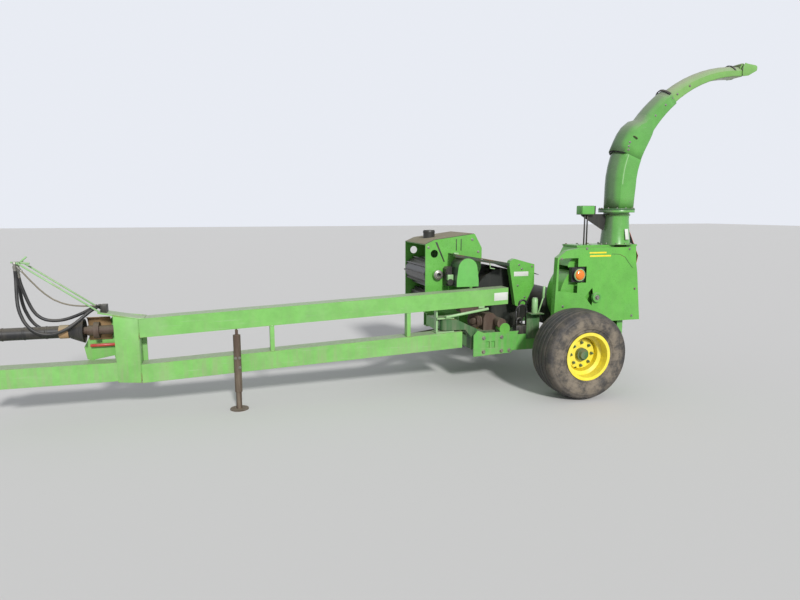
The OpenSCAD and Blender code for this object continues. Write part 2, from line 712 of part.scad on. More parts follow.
module lower_beam() { color("#4cb648") machine() beam_between(lower_rear_x, beam_front_x, lower_beam_z); }
module upper_beam() { color("#4cb648") machine() beam_between(upper_rear_x, beam_front_x, upper_beam_z); }

function lower_top(x) = beam_z(x, lower_beam_z) + beam_half;
function upper_bottom(x) = beam_z(x, upper_beam_z) - beam_half;

module tongue_posts() {
    color("#4cb648") machine() {
        // uprights between the beams
        for (x = upright_x) side_plate(tongue_y - 40, 80) polygon([
            [x - 24, lower_top(x - 24) + run_gap], [x + 24, lower_top(x + 24) + run_gap],
            [x + 24, upper_bottom(x + 24) - run_gap], [x - 24, upper_bottom(x - 24) - run_gap]]);
        // front plates on both sides of the beams
        side_plate(tongue_y + beam / 2, plate_t) polygon([
            [beam_front_x - 20, 285], [beam_front_x + 180, 285], [beam_front_x + 180, 830], [beam_front_x + 100, 830],
            [beam_front_x - 20, 660]]);
        side_plate(tongue_y - beam / 2 - plate_t, plate_t) polygon([
            [beam_front_x - 100, 500], [beam_front_x + 20, 500], [beam_front_x + 20, 285], [beam_front_x + 180, 285],
            [beam_front_x + 180, 390], [bell_x - 20, 410], [bell_x - 8, 830], [beam_front_x - 20, 830],
            [beam_front_x - 100, 660]]);
        // end plates of the beams, with the hole for the drive shaft
        translate([beam_front_x + run_gap, tongue_y - beam / 2 - weld, 285]) difference() {
            cube([plate_t, beam + 2 * weld, 500]);
            translate([-1, beam / 2 + weld, shaft_z - 285]) rotate([0, 90, 0]) cylinder(h = plate_t + 2, d = 70);
        }
    }
}

module drawbar() {
    color("#3f9f3d") machine() {
        tube_x(beam_front_x + plate_t + 2 * run_gap, hitch_x - 120, tongue_y, hitch_z, beam, beam, tube_wall);
        difference() {
            union() {
                for (s = [-1, 1]) translate([hitch_x - 130, tongue_y - 50, hitch_z + s * 40 - 12.5]) cube([130, 100, 25]);
                for (s = [-1, 1]) translate([hitch_x, tongue_y, hitch_z + s * 40 - 12.5]) cylinder(h = 25, r = 50);
                translate([hitch_x - 130, tongue_y - beam / 2, hitch_z - beam / 2]) cube([20, beam, beam]);
            }
            translate([hitch_x, tongue_y, hitch_z - 80]) cylinder(h = 160, d = hitch_pin_d);
        }
    }
}

module swing_pin() {
    color("#8a8d86") machine() {
        // foot plate on the lower beam
        translate([pivot_x, tongue_y, lower_top(pivot_x) + run_gap]) rotate([0, beam_fall, 0])
            translate([-60, -60, 0]) cube([175, 120, 10]);
        // pin, cap plate and the strap up to the upper beam
        translate([pivot_x, tongue_y, lower_top(pivot_x) + 5]) cylinder(h = eye_z1 + 14 - lower_top(pivot_x), d = pivot_pin_d);
        translate([pivot_x - 60, tongue_y - 60, eye_z1 + run_gap]) cube([165, 120, 14]);
        side_plate(tongue_y - 30, 60) polygon([
            [pivot_x + 90, lower_top(pivot_x + 90) + 5], [pivot_x + 105, lower_top(pivot_x + 105) + 5],
            [pivot_x + 105, upper_bottom(pivot_x + 105) - run_gap], [pivot_x + 90, upper_bottom(pivot_x + 90) - run_gap]]);
    }
}

module parking_jack() {
    y = tongue_y + beam / 2;
    color("#7c5a45") machine() {
        translate([jack_x, y + 45, 0]) {
            cylinder(h = 8, d = 150);
            cylinder(h = 300, d = 46);
            translate([0, 0, 150]) cylinder(h = 480, d = 60);
            translate([-12, -12, 630]) cube([24, 24, 40]);
            translate([0, 0, 655]) rotate([90, 0, 0]) cylinder(h = 120, d = 14);
        }
        translate([jack_x - 30, y, 340]) cube([60, 20, 130]);
    }
}

module rod_between(a, b, d) {
    v = b - a;
    l = norm(v);
    translate(a) rotate([0, acos(v[2] / l), atan2(v[1], v[0])]) cylinder(h = l, d = d);
}

module hose_holder() {
    color("#7fd07a") machine() {
        // bar between the front plates, two rods and the cross at their top
        translate([beam_front_x + 130, tongue_y - beam / 2 + run_gap, 790]) cube([60, beam - 2 * run_gap, 24]);
        for (s = [-1, 1]) rod_between([beam_front_x + 160, tongue_y + s * 35, 800],
            [holder_x, tongue_y + s * 35, holder_z], 16);
        translate([holder_x, tongue_y - 100, holder_z]) rotate([-90, 0, 0]) cylinder(h = 200, d = 16);
    }
}

module shaft_shield() {
    color("#1c1c1c") machine() translate([0, tongue_y, shaft_z]) rotate([0, 90, 0]) difference() {
        union() {
            translate([0, 0, bell_x + 90]) cylinder(h = pto_end_x - bell_x - 300, d = 96);
            translate([0, 0, bell_x]) cylinder(h = 100, d1 = 190, d2 = 110);
        }
        translate([0, 0, bell_x + 130]) cylinder(h = 2000, d = 84);
        translate([0, 0, bell_x - 10]) cylinder(h = 200, d = 60 + 2 * run_gap);
        translate([0, 0, bell_x - 1]) cylinder(h = 90, d1 = 180, d2 = 100);
    }
}

module pto_shaft() {
    color("#6a5a4c") machine() {
        long_rod(beam_front_x - 60, tongue_y, shaft_z, 260, 50);
        long_rod(shaft_joint_x - 150, tongue_y, shaft_z, 110, 70);
        long_rod(shaft_joint_x - 45, tongue_y, shaft_z, 40, 130);
        long_rod(shaft_joint_x - 10, tongue_y, shaft_z, 50, 80);
        long_rod(shaft_joint_x + 30, tongue_y, shaft_z, pto_end_x - shaft_joint_x - 160, 60);
        difference() {
            long_rod(pto_end_x - 140, tongue_y, shaft_z, 140, 76);
            long_rod(pto_end_x - 70, tongue_y, shaft_z, 80, 35);
        }
    }
}

// Distance and direction from the cylinder's pin on the frame to its pin on the tongue
swing_run = [lug_x - bracket_x, lug_y - bracket_y];
swing_len = norm(swing_run);
swing_dir = atan2(swing_run[1], swing_run[0]);

module along_cylinder() {
    machine() translate([bracket_x, bracket_y, swing_z]) rotate([0, 0, swing_dir]) children();
}

module swing_bracket() {
    color("#3a9a3c") machine() {
        for (s = [-1, 1]) translate([arm_x1, bracket_y - 35, swing_z + s * 36 - 6])
            cube([bracket_x - arm_x1 + 35, 70, plate_t]);
        translate([bracket_x, bracket_y, swing_z - 45]) cylinder(h = 90, d = cyl_pin_d);
    }
}

module swing_lug() {
    color("#4cb648") machine() {
        for (s = [-1, 1]) translate([lug_x - 40, lug_y - 30, swing_z + s * 36 - 6])
            cube([80, tongue_y - beam / 2 - lug_y + 30, plate_t]);
        translate([lug_x, lug_y, swing_z - 45]) cylinder(h = 90, d = cyl_pin_d);
    }
}

module swing_cylinder() {
    color("#2b2b2b") along_cylinder() difference() {
        union() {
            translate([0, 0, -29]) cylinder(h = 58, d = 56);
            rotate([0, 90, 0]) cylinder(h = 70, d = 50);
            rotate([0, 90, 0]) translate([0, 0, 60]) cylinder(h = barrel_len - 60, d = 74);
        }
        translate([0, 0, -30]) cylinder(h = 60, d = cyl_pin_d + 2 * run_gap);
        rotate([0, 90, 0]) translate([0, 0, 90]) cylinder(h = barrel_len - 120, d = 58);
        rotate([0, 90, 0]) translate([0, 0, 91]) cylinder(h = barrel_len, d = rod_d + 2 * run_gap);
    }
}

module swing_rod() {
    color("#c9ccc9") along_cylinder() difference() {
        union() {
            rotate([0, 90, 0]) translate([0, 0, 330]) cylinder(h = swing_len - 330 - 20, d = rod_d);
            translate([swing_len, 0, -29]) cylinder(h = 58, d = 78);
        }
        translate([swing_len, 0, -30]) cylinder(h = 60, d = cyl_pin_d + 2 * eye_play);
    }
}

tyre_left();
rim_left();
hub_left();
tyre_right();
rim_right();
hub_right();
axle();
main_frame();
swing_arm();
wagon_hitch();
feed_housing();
feed_hood();
feed_gearcase();
roll_drive_hood();
upper_front_roll();
lower_front_roll();
upper_rear_roll();
lower_rear_roll();
cutter_housing();
cutter_cover();
control_shield();
main_gearbox();
shaft_guard();
blower_housing();
belt_shield();
lamp_left();
lamp_right();
rear_emblem();
spout_base();
spout_motor();
spout_riser();
spout_bend();
spout_end();
deflector();
lower_beam();
upper_beam();
tongue_posts();
drawbar();
swing_pin();
parking_jack();
hose_holder();
shaft_shield();
pto_shaft();
swing_bracket();
swing_lug();
swing_cylinder();
swing_rod();
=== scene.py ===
import math
import bpy
import bmesh
from mathutils import Matrix, Vector


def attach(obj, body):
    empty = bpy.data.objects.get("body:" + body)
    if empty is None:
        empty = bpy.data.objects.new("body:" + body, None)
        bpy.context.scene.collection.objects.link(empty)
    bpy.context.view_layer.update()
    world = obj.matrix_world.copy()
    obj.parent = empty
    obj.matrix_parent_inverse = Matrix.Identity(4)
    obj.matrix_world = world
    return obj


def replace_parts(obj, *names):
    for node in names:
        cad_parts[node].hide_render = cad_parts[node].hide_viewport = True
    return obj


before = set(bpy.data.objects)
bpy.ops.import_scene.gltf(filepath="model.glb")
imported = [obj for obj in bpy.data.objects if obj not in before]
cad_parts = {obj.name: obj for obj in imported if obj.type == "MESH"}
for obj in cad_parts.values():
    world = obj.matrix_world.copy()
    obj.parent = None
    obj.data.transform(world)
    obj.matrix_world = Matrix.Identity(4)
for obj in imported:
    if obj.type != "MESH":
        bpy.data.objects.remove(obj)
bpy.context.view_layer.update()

# The machine's own frame, in mm with X = 0 at the axle, lies this far ahead of the origin
AXLE_X = 1.4093


def at(x, y, z):
    """A point of the machine's frame, in metres from the origin"""
    return Vector((x / 1000 - AXLE_X, y / 1000, z / 1000))


# Camera at the photograph's viewing angle
LENS, SENSOR = 27.08, 36
EYE = (2970.3, 5646, 1633)
LOOK, LOOK_UP = (-0.2773, -0.9496, -0.1463), (-0.0410, -0.1404, 0.9892)
view = bpy.data.cameras.new("view")
view.sensor_width = SENSOR
view.lens = LENS
view.clip_end = 100
camera = bpy.data.objects.new("camera", view)
bpy.context.scene.collection.objects.link(camera)
forward = Vector(LOOK).normalized()
upward = Vector(LOOK_UP).normalized()
sideways = forward.cross(upward).normalized()
upward = sideways.cross(forward)
turn = Matrix((sideways, upward, -forward)).transposed()
camera.matrix_world = Matrix.Translation(at(*EYE)) @ turn.to_4x4()
bpy.context.scene.camera = camera


# Helpers for the trees of the materials
def group(name, inputs, outputs):
    tree = bpy.data.node_groups.new(name, "ShaderNodeTree")
    for socket, kind in inputs:
        tree.interface.new_socket(socket, in_out="INPUT", socket_type=kind)
    for socket, kind in outputs:
        tree.interface.new_socket(socket, in_out="OUTPUT", socket_type=kind)
    return tree, tree.nodes.new("NodeGroupInput"), tree.nodes.new("NodeGroupOutput")


def noise(tree, where, scale, detail=4, rough=0.6, stretch=None):
    node = tree.nodes.new("ShaderNodeTexNoise")
    node.inputs["Scale"].default_value = scale
    node.inputs["Detail"].default_value = detail
    node.inputs["Roughness"].default_value = rough
    if stretch:
        turned = tree.nodes.new("ShaderNodeMapping")
        turned.inputs["Scale"].default_value = stretch
        tree.links.new(where, turned.inputs["Vector"])
        where = turned.outputs["Vector"]
    tree.links.new(where, node.inputs["Vector"])
    return node.outputs["Fac"]


def separate(tree, vector):
    node = tree.nodes.new("ShaderNodeSeparateXYZ")
    tree.links.new(vector, node.inputs[0])
    return node


def object_place(tree):
    return tree.nodes.new("ShaderNodeTexCoord").outputs["Object"]


def step(tree, value, low, high, out_low=0, out_high=1):
    node = tree.nodes.new("ShaderNodeMapRange")
    node.interpolation_type = "SMOOTHSTEP"
    limits = (("From Min", low), ("From Max", high), ("To Min", out_low), ("To Max", out_high))
    for socket, number in limits:
        node.inputs[socket].default_value = number
    tree.links.new(value, node.inputs["Value"])
    return node.outputs["Result"]


def calc(tree, operation, a, b=None, clamp=False):
    node = tree.nodes.new("ShaderNodeMath")
    node.operation = operation
    node.use_clamp = clamp
    for i, value in enumerate((a, b)):
        if value is None:
            continue
        if isinstance(value, (int, float)):
            node.inputs[i].default_value = value
        else:
            tree.links.new(value, node.inputs[i])
    return node.outputs["Value"]


def times(tree, a, b, clamp=False):
    return calc(tree, "MULTIPLY", a, b, clamp)


def blend(tree, amount, a, b, kind="MIX"):
    node = tree.nodes.new("ShaderNodeMix")
    node.data_type = "RGBA"
    node.blend_type = kind
    tree.links.new(amount, node.inputs["Factor"])
    for socket, value in ((6, a), (7, b)):
        if isinstance(value, tuple):
            node.inputs[socket].default_value = (*value, 1)
        else:
            tree.links.new(value, node.inputs[socket])
    return node.outputs[2]


COLOUR, NUMBER = "NodeSocketColor", "NodeSocketFloat"
FADED, DUST = (0.40, 0.46, 0.34), (0.30, 0.26, 0.19)
DARK_RUST, LIGHT_RUST = (0.10, 0.045, 0.02), (0.24, 0.12, 0.06)


def weather_group():
    """Fading, dust, runs, chipped edges and rust on a painted or cast surface"""
    inputs = [("Colour", COLOUR), ("Dust", NUMBER), ("Rust", NUMBER), ("Fade", NUMBER), ("Gloss", NUMBER)]
    outputs = [("Colour", COLOUR), ("Roughness", NUMBER), ("Height", NUMBER)]
    tree, given, made = group("weather", inputs, outputs)
    where = object_place(tree)
    place = separate(tree, where)
    surface = tree.nodes.new("ShaderNodeNewGeometry")
    facing = separate(tree, surface.outputs["Normal"])
    broad = noise(tree, where, 1.6, 5)
    patchy = noise(tree, where, 8, 6, 0.7)
    fine = noise(tree, where, 55, 5, 0.7)
    runs = noise(tree, where, 6, 5, 0.65, (3.5, 3.5, 0.35))
    top = step(tree, facing.outputs["Z"], 0.35, 0.9)
    low = step(tree, place.outputs["Z"], 0.95, 0.1)
    # edges, from the bevelled normal against the true one
    bevel = tree.nodes.new("ShaderNodeBevel")
    bevel.samples = 4
    bevel.inputs["Radius"].default_value = 0.007
    dot = tree.nodes.new("ShaderNodeVectorMath")
    dot.operation = "DOT_PRODUCT"
    tree.links.new(bevel.outputs["Normal"], dot.inputs[0])
    tree.links.new(surface.outputs["Normal"], dot.inputs[1])
    edge = step(tree, dot.outputs["Value"], 0.998, 0.94)
    chips = times(tree, edge, step(tree, patchy, 0.5, 0.62))
    spots = times(tree, step(tree, patchy, 0.66, 0.74), step(tree, fine, 0.48, 0.6))
    bare = times(tree, calc(tree, "ADD", chips, spots, True), given.outputs["Rust"], True)
    # paint: broad and patchy changes of tone, paler where it faces up
    tone = tree.nodes.new("ShaderNodeHueSaturation")
    tree.links.new(step(tree, patchy, 0.3, 0.7, 0.9, 1.08), tone.inputs["Value"])
    tree.links.new(step(tree, broad, 0.3, 0.7, 0.93, 1.04), tone.inputs["Saturation"])
    tree.links.new(given.outputs["Colour"], tone.inputs["Color"])
    # long fine scratches, pale in the paint
    drawn = noise(tree, where, 5, 4, 0.75, (0.6, 9, 14))
    scratches = times(tree, step(tree, drawn, 0.6, 0.68), given.outputs["Fade"], True)
    from_above = times(tree, top, 0.75)
    bleached = calc(tree, "ADD", from_above, step(tree, broad, 0.45, 0.75, 0, 0.4), True)
    sunned = times(tree, given.outputs["Fade"], bleached, True)
    sunned = calc(tree, "ADD", sunned, times(tree, scratches, 0.35), True)
    pale = blend(tree, sunned, tone.outputs["Color"], FADED)
    # dust in runs low down, and lying on what faces up
    lying = times(tree, top, step(tree, fine, 0.25, 0.75, 0.35, 0.9))
    splashed = times(tree, low, step(tree, runs, 0.35, 0.7))
    settled = calc(tree, "ADD", lying, splashed, True)
    veil = calc(tree, "ADD", settled, step(tree, runs, 0.5, 0.8, 0, 0.2), True)
    dusty = times(tree, veil, given.outputs["Dust"], True)
    colour = blend(tree, dusty, pale, DUST)
    rusty = blend(tree, step(tree, fine, 0.3, 0.7), DARK_RUST, LIGHT_RUST)
    colour = blend(tree, bare, colour, rusty)
    duller = calc(tree, "ADD", times(tree, dusty, 0.4), times(tree, bare, 0.45))
    rough = calc(tree, "ADD", given.outputs["Gloss"], duller, True)
    rough = calc(tree, "ADD", rough, step(tree, fine, 0.2, 0.8, -0.06, 0.1), True)
    height = calc(tree, "ADD", times(tree, fine, 0.35), times(tree, patchy, 0.6))
    height = calc(tree, "SUBTRACT", height, times(tree, bare, 0.5))
    for socket, value in (("Colour", colour), ("Roughness", rough), ("Height", height)):
        tree.links.new(value, made.inputs[socket])
    return tree


WEATHER = weather_group()


def material(name):
    """A new material, its tree and its shader"""
    made = bpy.data.materials.new(name)
    made.use_nodes = True
    return made, made.node_tree, made.node_tree.nodes["Principled BSDF"]


def coat(tree, shader, colour, rough):
    tree.links.new(colour, shader.inputs["Base Color"])
    tree.links.new(rough, shader.inputs["Roughness"])


def bump(tree, shader, height, strength, distance=0.002):
    node = tree.nodes.new("ShaderNodeBump")
    node.inputs["Strength"].default_value = strength
    node.inputs["Distance"].default_value = distance
    tree.links.new(height, node.inputs["Height"])
    tree.links.new(node.outputs["Normal"], shader.inputs["Normal"])


def weathered(name, colour, dust, rust, fade, gloss=0.34, metallic=0.0, relief=0.18):
    """A finish of one colour under the shared weather"""
    made, tree, shader = material(name)
    node = tree.nodes.new("ShaderNodeGroup")
    node.node_tree = WEATHER
    node.inputs["Colour"].default_value = (*colour, 1)
    for socket, value in (("Dust", dust), ("Rust", rust), ("Fade", fade), ("Gloss", gloss)):
        node.inputs[socket].default_value = value
    coat(tree, shader, node.outputs["Colour"], node.outputs["Roughness"])
    shader.inputs["Metallic"].default_value = metallic
    bump(tree, shader, node.outputs["Height"], relief)
    return made


# Height of the wheels' axis in mm, and radii in metres where the tyre's finish changes
WHEEL_Z = 393.5
SIDEWALL_R, SHOULDER_R, TREAD_LOW_R, TREAD_R = 0.30, 0.36, 0.384, 0.391


def wheel_rubber():
    """Tyre rubber: dust on the sidewall and in the grooves, darker on the worn ribs"""
    made, tree, shader = material("tyre_rubber")
    where = object_place(tree)
    patchy = noise(tree, where, 9, 6, 0.7)
    fine = noise(tree, where, 90, 4, 0.6)
    place = separate(tree, where)
    across = calc(tree, "POWER", calc(tree, "SUBTRACT", place.outputs["X"], -AXLE_X), 2)
    upright = calc(tree, "POWER", calc(tree, "SUBTRACT", place.outputs["Z"], WHEEL_Z / 1000), 2)
    radius = calc(tree, "SQRT", calc(tree, "ADD", across, upright))
    tread = step(tree, radius, TREAD_LOW_R, TREAD_R)
    shoulder = step(tree, radius, SHOULDER_R, SIDEWALL_R)
    more = calc(tree, "ADD", 0.42, times(tree, shoulder, 0.45))
    dusty = times(tree, step(tree, patchy, 0.36, 0.64, 0.1, 1), more)
    worn = calc(tree, "SUBTRACT", 1, times(tree, tread, 0.55))
    dusty = times(tree, dusty, worn, True)
    black = blend(tree, step(tree, fine, 0.3, 0.7), (0.016, 0.016, 0.017), (0.034, 0.033, 0.033))
    rough = calc(tree, "ADD", 0.62, times(tree, dusty, 0.3), True)
    coat(tree, shader, blend(tree, dusty, black, (0.235, 0.195, 0.145)), rough)
    bump(tree, shader, calc(tree, "ADD", times(tree, fine, 0.6), patchy), 0.3)
    return made


def hose_rubber(name, dark, light):
    """Rubber with a fine wrapped weave and dust on its upper side"""
    made, tree, shader = material(name)
    where = object_place(tree)
    facing = separate(tree, tree.nodes.new("ShaderNodeNewGeometry").outputs["Normal"])
    patchy = noise(tree, where, 14, 5)
    weave = tree.nodes.new("ShaderNodeTexWave")
    weave.bands_direction = "DIAGONAL"
    weave.inputs["Scale"].default_value = 90
    weave.inputs["Distortion"].default_value = 1.5
    tree.links.new(where, weave.inputs["Vector"])
    upper = step(tree, facing.outputs["Z"], -0.1, 0.9, 0.08, 0.6)
    dusty = times(tree, upper, step(tree, patchy, 0.3, 0.7))
    rough = calc(tree, "ADD", 0.42, times(tree, dusty, 0.45), True)
    coat(tree, shader, blend(tree, dusty, dark, light), rough)
    bump(tree, shader, weave.outputs["Fac"], 0.25, 0.001)
    return made


def rod_chrome():
    """Bright rod with fine scratches along it and a brownish film"""
    made, tree, shader = material("rod_chrome")
    where = object_place(tree)
    scratch = noise(tree, where, 40, 4, 0.6, (1, 12, 12))
    film = noise(tree, where, 7, 4)
    filmed = blend(tree, step(tree, film, 0.45, 0.7), (0.62, 0.63, 0.64), (0.30, 0.26, 0.2))
    coat(tree, shader, filmed, step(tree, scratch, 0.3, 0.75, 0.14, 0.38))
    shader.inputs["Metallic"].default_value = 1
    bump(tree, shader, scratch, 0.08, 0.0005)
    return made


def lens_amber():
    """Amber lens with flutes and a thin film of dust"""
    made, tree, shader = material("lens_amber")
    where = object_place(tree)
    flutes = tree.nodes.new("ShaderNodeTexWave")
    flutes.bands_direction = "X"
    flutes.inputs["Scale"].default_value = 55
    tree.links.new(where, flutes.inputs["Vector"])
    film = noise(tree, where, 30, 4)
    filmed = blend(tree, step(tree, film, 0.4, 0.8, 0, 0.5), (0.80, 0.20, 0.01), (0.42, 0.2, 0.06))
    coat(tree, shader, filmed, step(tree, film, 0.3, 0.8, 0.12, 0.4))
    shader.inputs["Coat Weight"].default_value = 0.4
    bump(tree, shader, flutes.outputs["Fac"], 0.35, 0.001)
    return made


def facing_tone(name, first, second, axis, low, high, **finish):
    """Weathered paint, second where it faces along the axis by more than high, first below low; serves both
    for painted light and shade on one paint and for parts of two real colours
    """
    made = weathered(name, first, **finish)
    tree = made.node_tree
    facing = separate(tree, tree.nodes.new("ShaderNodeNewGeometry").outputs["Normal"])
    mixed = blend(tree, step(tree, facing.outputs[axis], low, high), first, second)
    inner = next(node for node in tree.nodes if node.type == "GROUP")
    tree.links.new(mixed, inner.inputs["Colour"])
    return made


# Finishes: colours, and how much dust, rust and fading each has
GREEN = weathered("green_paint", (0.10, 0.39, 0.06), dust=0.4, rust=0.75, fade=0.5)
BRIGHT = weathered("bright_green", (0.115, 0.40, 0.055), dust=0.25, rust=0.45, fade=0.25, gloss=0.28)
BEAM = weathered("beam_green", (0.165, 0.445, 0.088), dust=0.4, rust=0.8, fade=0.75)
# Spout paint: faces turned to the near side in lit green, all other faces in a darker green of painted shade
SPOUT = facing_tone("spout_lit_and_shaded_green", (0.09, 0.18, 0.07), (0.10, 0.335, 0.058), "Y", 0.55, 0.75,
    dust=0.3, rust=0.45, fade=0.4, gloss=0.26)
TIP_GREEN = facing_tone("tip_green", (0.22, 0.31, 0.13), (0.17, 0.38, 0.085), "Y", 0.4, 0.7,
    dust=0.5, rust=0.7, fade=0.42, gloss=0.32)
# Darker copy of the green paint: painted shade for parts that lie in deep shade
DARK = weathered("dark_green", (0.03, 0.12, 0.03), dust=0.55, rust=0.8, fade=0.15, gloss=0.45)
BLACKED = weathered("shade_black", (0.016, 0.019, 0.015), dust=0.25, rust=0.25, fade=0.0, gloss=0.5)
IRON = weathered("dark_iron", (0.035, 0.034, 0.03), dust=0.4, rust=0.8, fade=0.05, gloss=0.42,
    metallic=0.35, relief=0.4)
RUSTY = weathered("rusty_iron", (0.075, 0.045, 0.03), dust=0.45, rust=1.0, fade=0.05, gloss=0.6,
    metallic=0.2, relief=0.5)
STEEL = weathered("roll_steel", (0.10, 0.10, 0.10), dust=0.35, rust=0.6, fade=0.0, gloss=0.36,
    metallic=0.7, relief=0.35)
PALE = weathered("pale_green", (0.26, 0.48, 0.20), dust=0.4, rust=0.7, fade=0.6)
TAN = weathered("tan_paint", (0.36, 0.22, 0.10), dust=0.6, rust=1.0, fade=0.4, gloss=0.55, relief=0.35)
RED = weathered("red_paint", (0.45, 0.03, 0.02), dust=0.3, rust=0.8, fade=0.2)
YELLOW = weathered("rim_yellow", (0.84, 0.70, 0.04), dust=0.15, rust=0.4, fade=0.05, gloss=0.28)
STRIPE = weathered("stripe_yellow", (0.80, 0.66, 0.04), dust=0.15, rust=0.1, fade=0.1, gloss=0.35)
PLASTIC = weathered("black_plastic", (0.014, 0.014, 0.014), dust=0.4, rust=0.0, fade=0.0, gloss=0.4,
    relief=0.15)
GALVANISED = weathered("zinc_bolt", (0.30, 0.29, 0.26), dust=0.5, rust=0.9, fade=0.0, gloss=0.35,
    metallic=0.8)
BLANK = weathered("blank_plate", (0.62, 0.63, 0.58), dust=0.45, rust=0.1, fade=0.0, gloss=0.4)
EMBLEM = facing_tone("emblem_red", (0.62, 0.10, 0.02), (0.018, 0.018, 0.016), "X", 0.0, 0.5,
    dust=0.35, rust=0.3, fade=0.15, gloss=0.4)
# Roll drive hood: green, with its forward faces in a dark grey-green of painted shade
HOOD = facing_tone("hood_lit_and_shaded_green", (0.12, 0.42, 0.08), (0.045, 0.07, 0.05), "X", 0.2, 0.6,
    dust=0.5, rust=0.5, fade=0.3)
# Shelf and cover: upward faces in a tan of painted light, all other faces near-black painted shade, under the
# shared dust
SHELF = facing_tone("shelf_shade_and_lit_top", (0.022, 0.04, 0.02), (0.14, 0.12, 0.06), "Z", 0.3, 0.8,
    dust=0.7, rust=1.0, fade=0.1, gloss=0.6)
RUBBER = wheel_rubber()
HOSE = hose_rubber("black_rubber", (0.014, 0.014, 0.015), (0.16, 0.145, 0.12))
CABLE = hose_rubber("cable_grey", (0.16, 0.14, 0.10), (0.30, 0.26, 0.19))
CHROME = rod_chrome()
AMBER = lens_amber()

# One finish for each CAD node
FINISH = {
    BEAM: ["lower_beam", "upper_beam", "tongue_posts", "drawbar"],
    BRIGHT: ["belt_shield", "control_shield", "feed_housing", "feed_hood", "blower_housing"],
    DARK: ["hub_left", "hub_right", "axle", "swing_arm"],
    HOOD: ["roll_drive_hood"],
    SHELF: ["cutter_cover"],
    BLACKED: ["cutter_housing"],
    IRON: ["feed_gearcase", "spout_motor", "swing_cylinder"],
    RUSTY: ["main_gearbox", "shaft_guard", "parking_jack", "pto_shaft"],
    STEEL: ["upper_front_roll", "lower_front_roll", "upper_rear_roll", "lower_rear_roll"],
    PALE: ["swing_pin"],
    PLASTIC: ["shaft_shield", "lamp_left", "lamp_right"],
    YELLOW: ["rim_left", "rim_right"],
    RUBBER: ["tyre_left", "tyre_right"],
    EMBLEM: ["rear_emblem"],
    CHROME: ["swing_rod"]}
named = {node: finish for finish, nodes in FINISH.items() for node in nodes}
for node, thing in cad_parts.items():
    thing.data.materials.clear()
    thing.data.materials.append(named.get(node, GREEN))

# Places in mm that several pieces share: tongue's middle and shaft, belt shield's face, neck's axis
LINE_Y, SHAFT_Z, SHIELD_Y = 510, 705, 800
NECK_X, SPOUT_Y = -640, 650
LEFT, FRONT, UP = (0, 1, 0), (1, 0, 0), (0, 0, 1)
SHARP = math.radians(40)


def add(name, data, body, finish):
    """A new piece on a CAD body, with its material"""
    thing = bpy.data.objects.new(name, data)
    bpy.context.scene.collection.objects.link(thing)
    data.materials.append(finish)
    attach(thing, body)
    return thing


def solid(name, shape, body, finish):
    """A bmesh turned into a piece, smooth but for its sharp edges"""
    bmesh.ops.recalc_face_normals(shape, faces=shape.faces)
    for face in shape.faces:
        face.smooth = True
    for edge in shape.edges:
        edge.smooth = edge.calc_face_angle(0) < SHARP
    data = bpy.data.meshes.new(name)
    shape.to_mesh(data)
    shape.free()
    return add(name, data, body, finish)


def frame_of(direction):
    """Turns +Z to a direction"""
    return direction.to_track_quat("Z", "Y").to_matrix().to_4x4()


def placed(place, out):
    """Moves the origin to a place and turns +Z to a direction"""
    return Matrix.Translation(place) @ frame_of(Vector(out))


def towards(start, end):
    """Moves the origin to a place and turns +Z to another place"""
    return Matrix.Translation(start) @ frame_of((end - start).normalized())


def chain(shape, places, closed=False):
    """Points joined in a row by edges, and the last to the first where closed"""
    points = [shape.verts.new(place) for place in places]
    after = points[1:] + points[:1] if closed else points[1:]
    return points, [shape.edges.new(pair) for pair in zip(points, after)]


def settle(shape):
    """Marks all points as placed, so that later parts leave them"""
    for vert in shape.verts:
        vert.tag = True


def turned(shape, outline, place, segments=24):
    """Spins an outline of (radius, height) about Z and puts it in place"""
    points, edges = chain(shape, [(r, 0, h) for r, h in outline])
    bmesh.ops.spin(shape, geom=points + edges, cent=(0, 0, 0), axis=(0, 0, 1), angle=2 * math.pi,
        steps=segments, use_merge=True)
    bmesh.ops.remove_doubles(shape, verts=[v for v in shape.verts if not v.tag], dist=1e-6)
    for vert in shape.verts:
        if not vert.tag:
            vert.co = place @ vert.co
    settle(shape)


def lathe(name, outline, place, segments, body, finish):
    """A piece of one turned outline"""
    shape = bmesh.new()
    turned(shape, outline, place, segments)
    return solid(name, shape, body, finish)


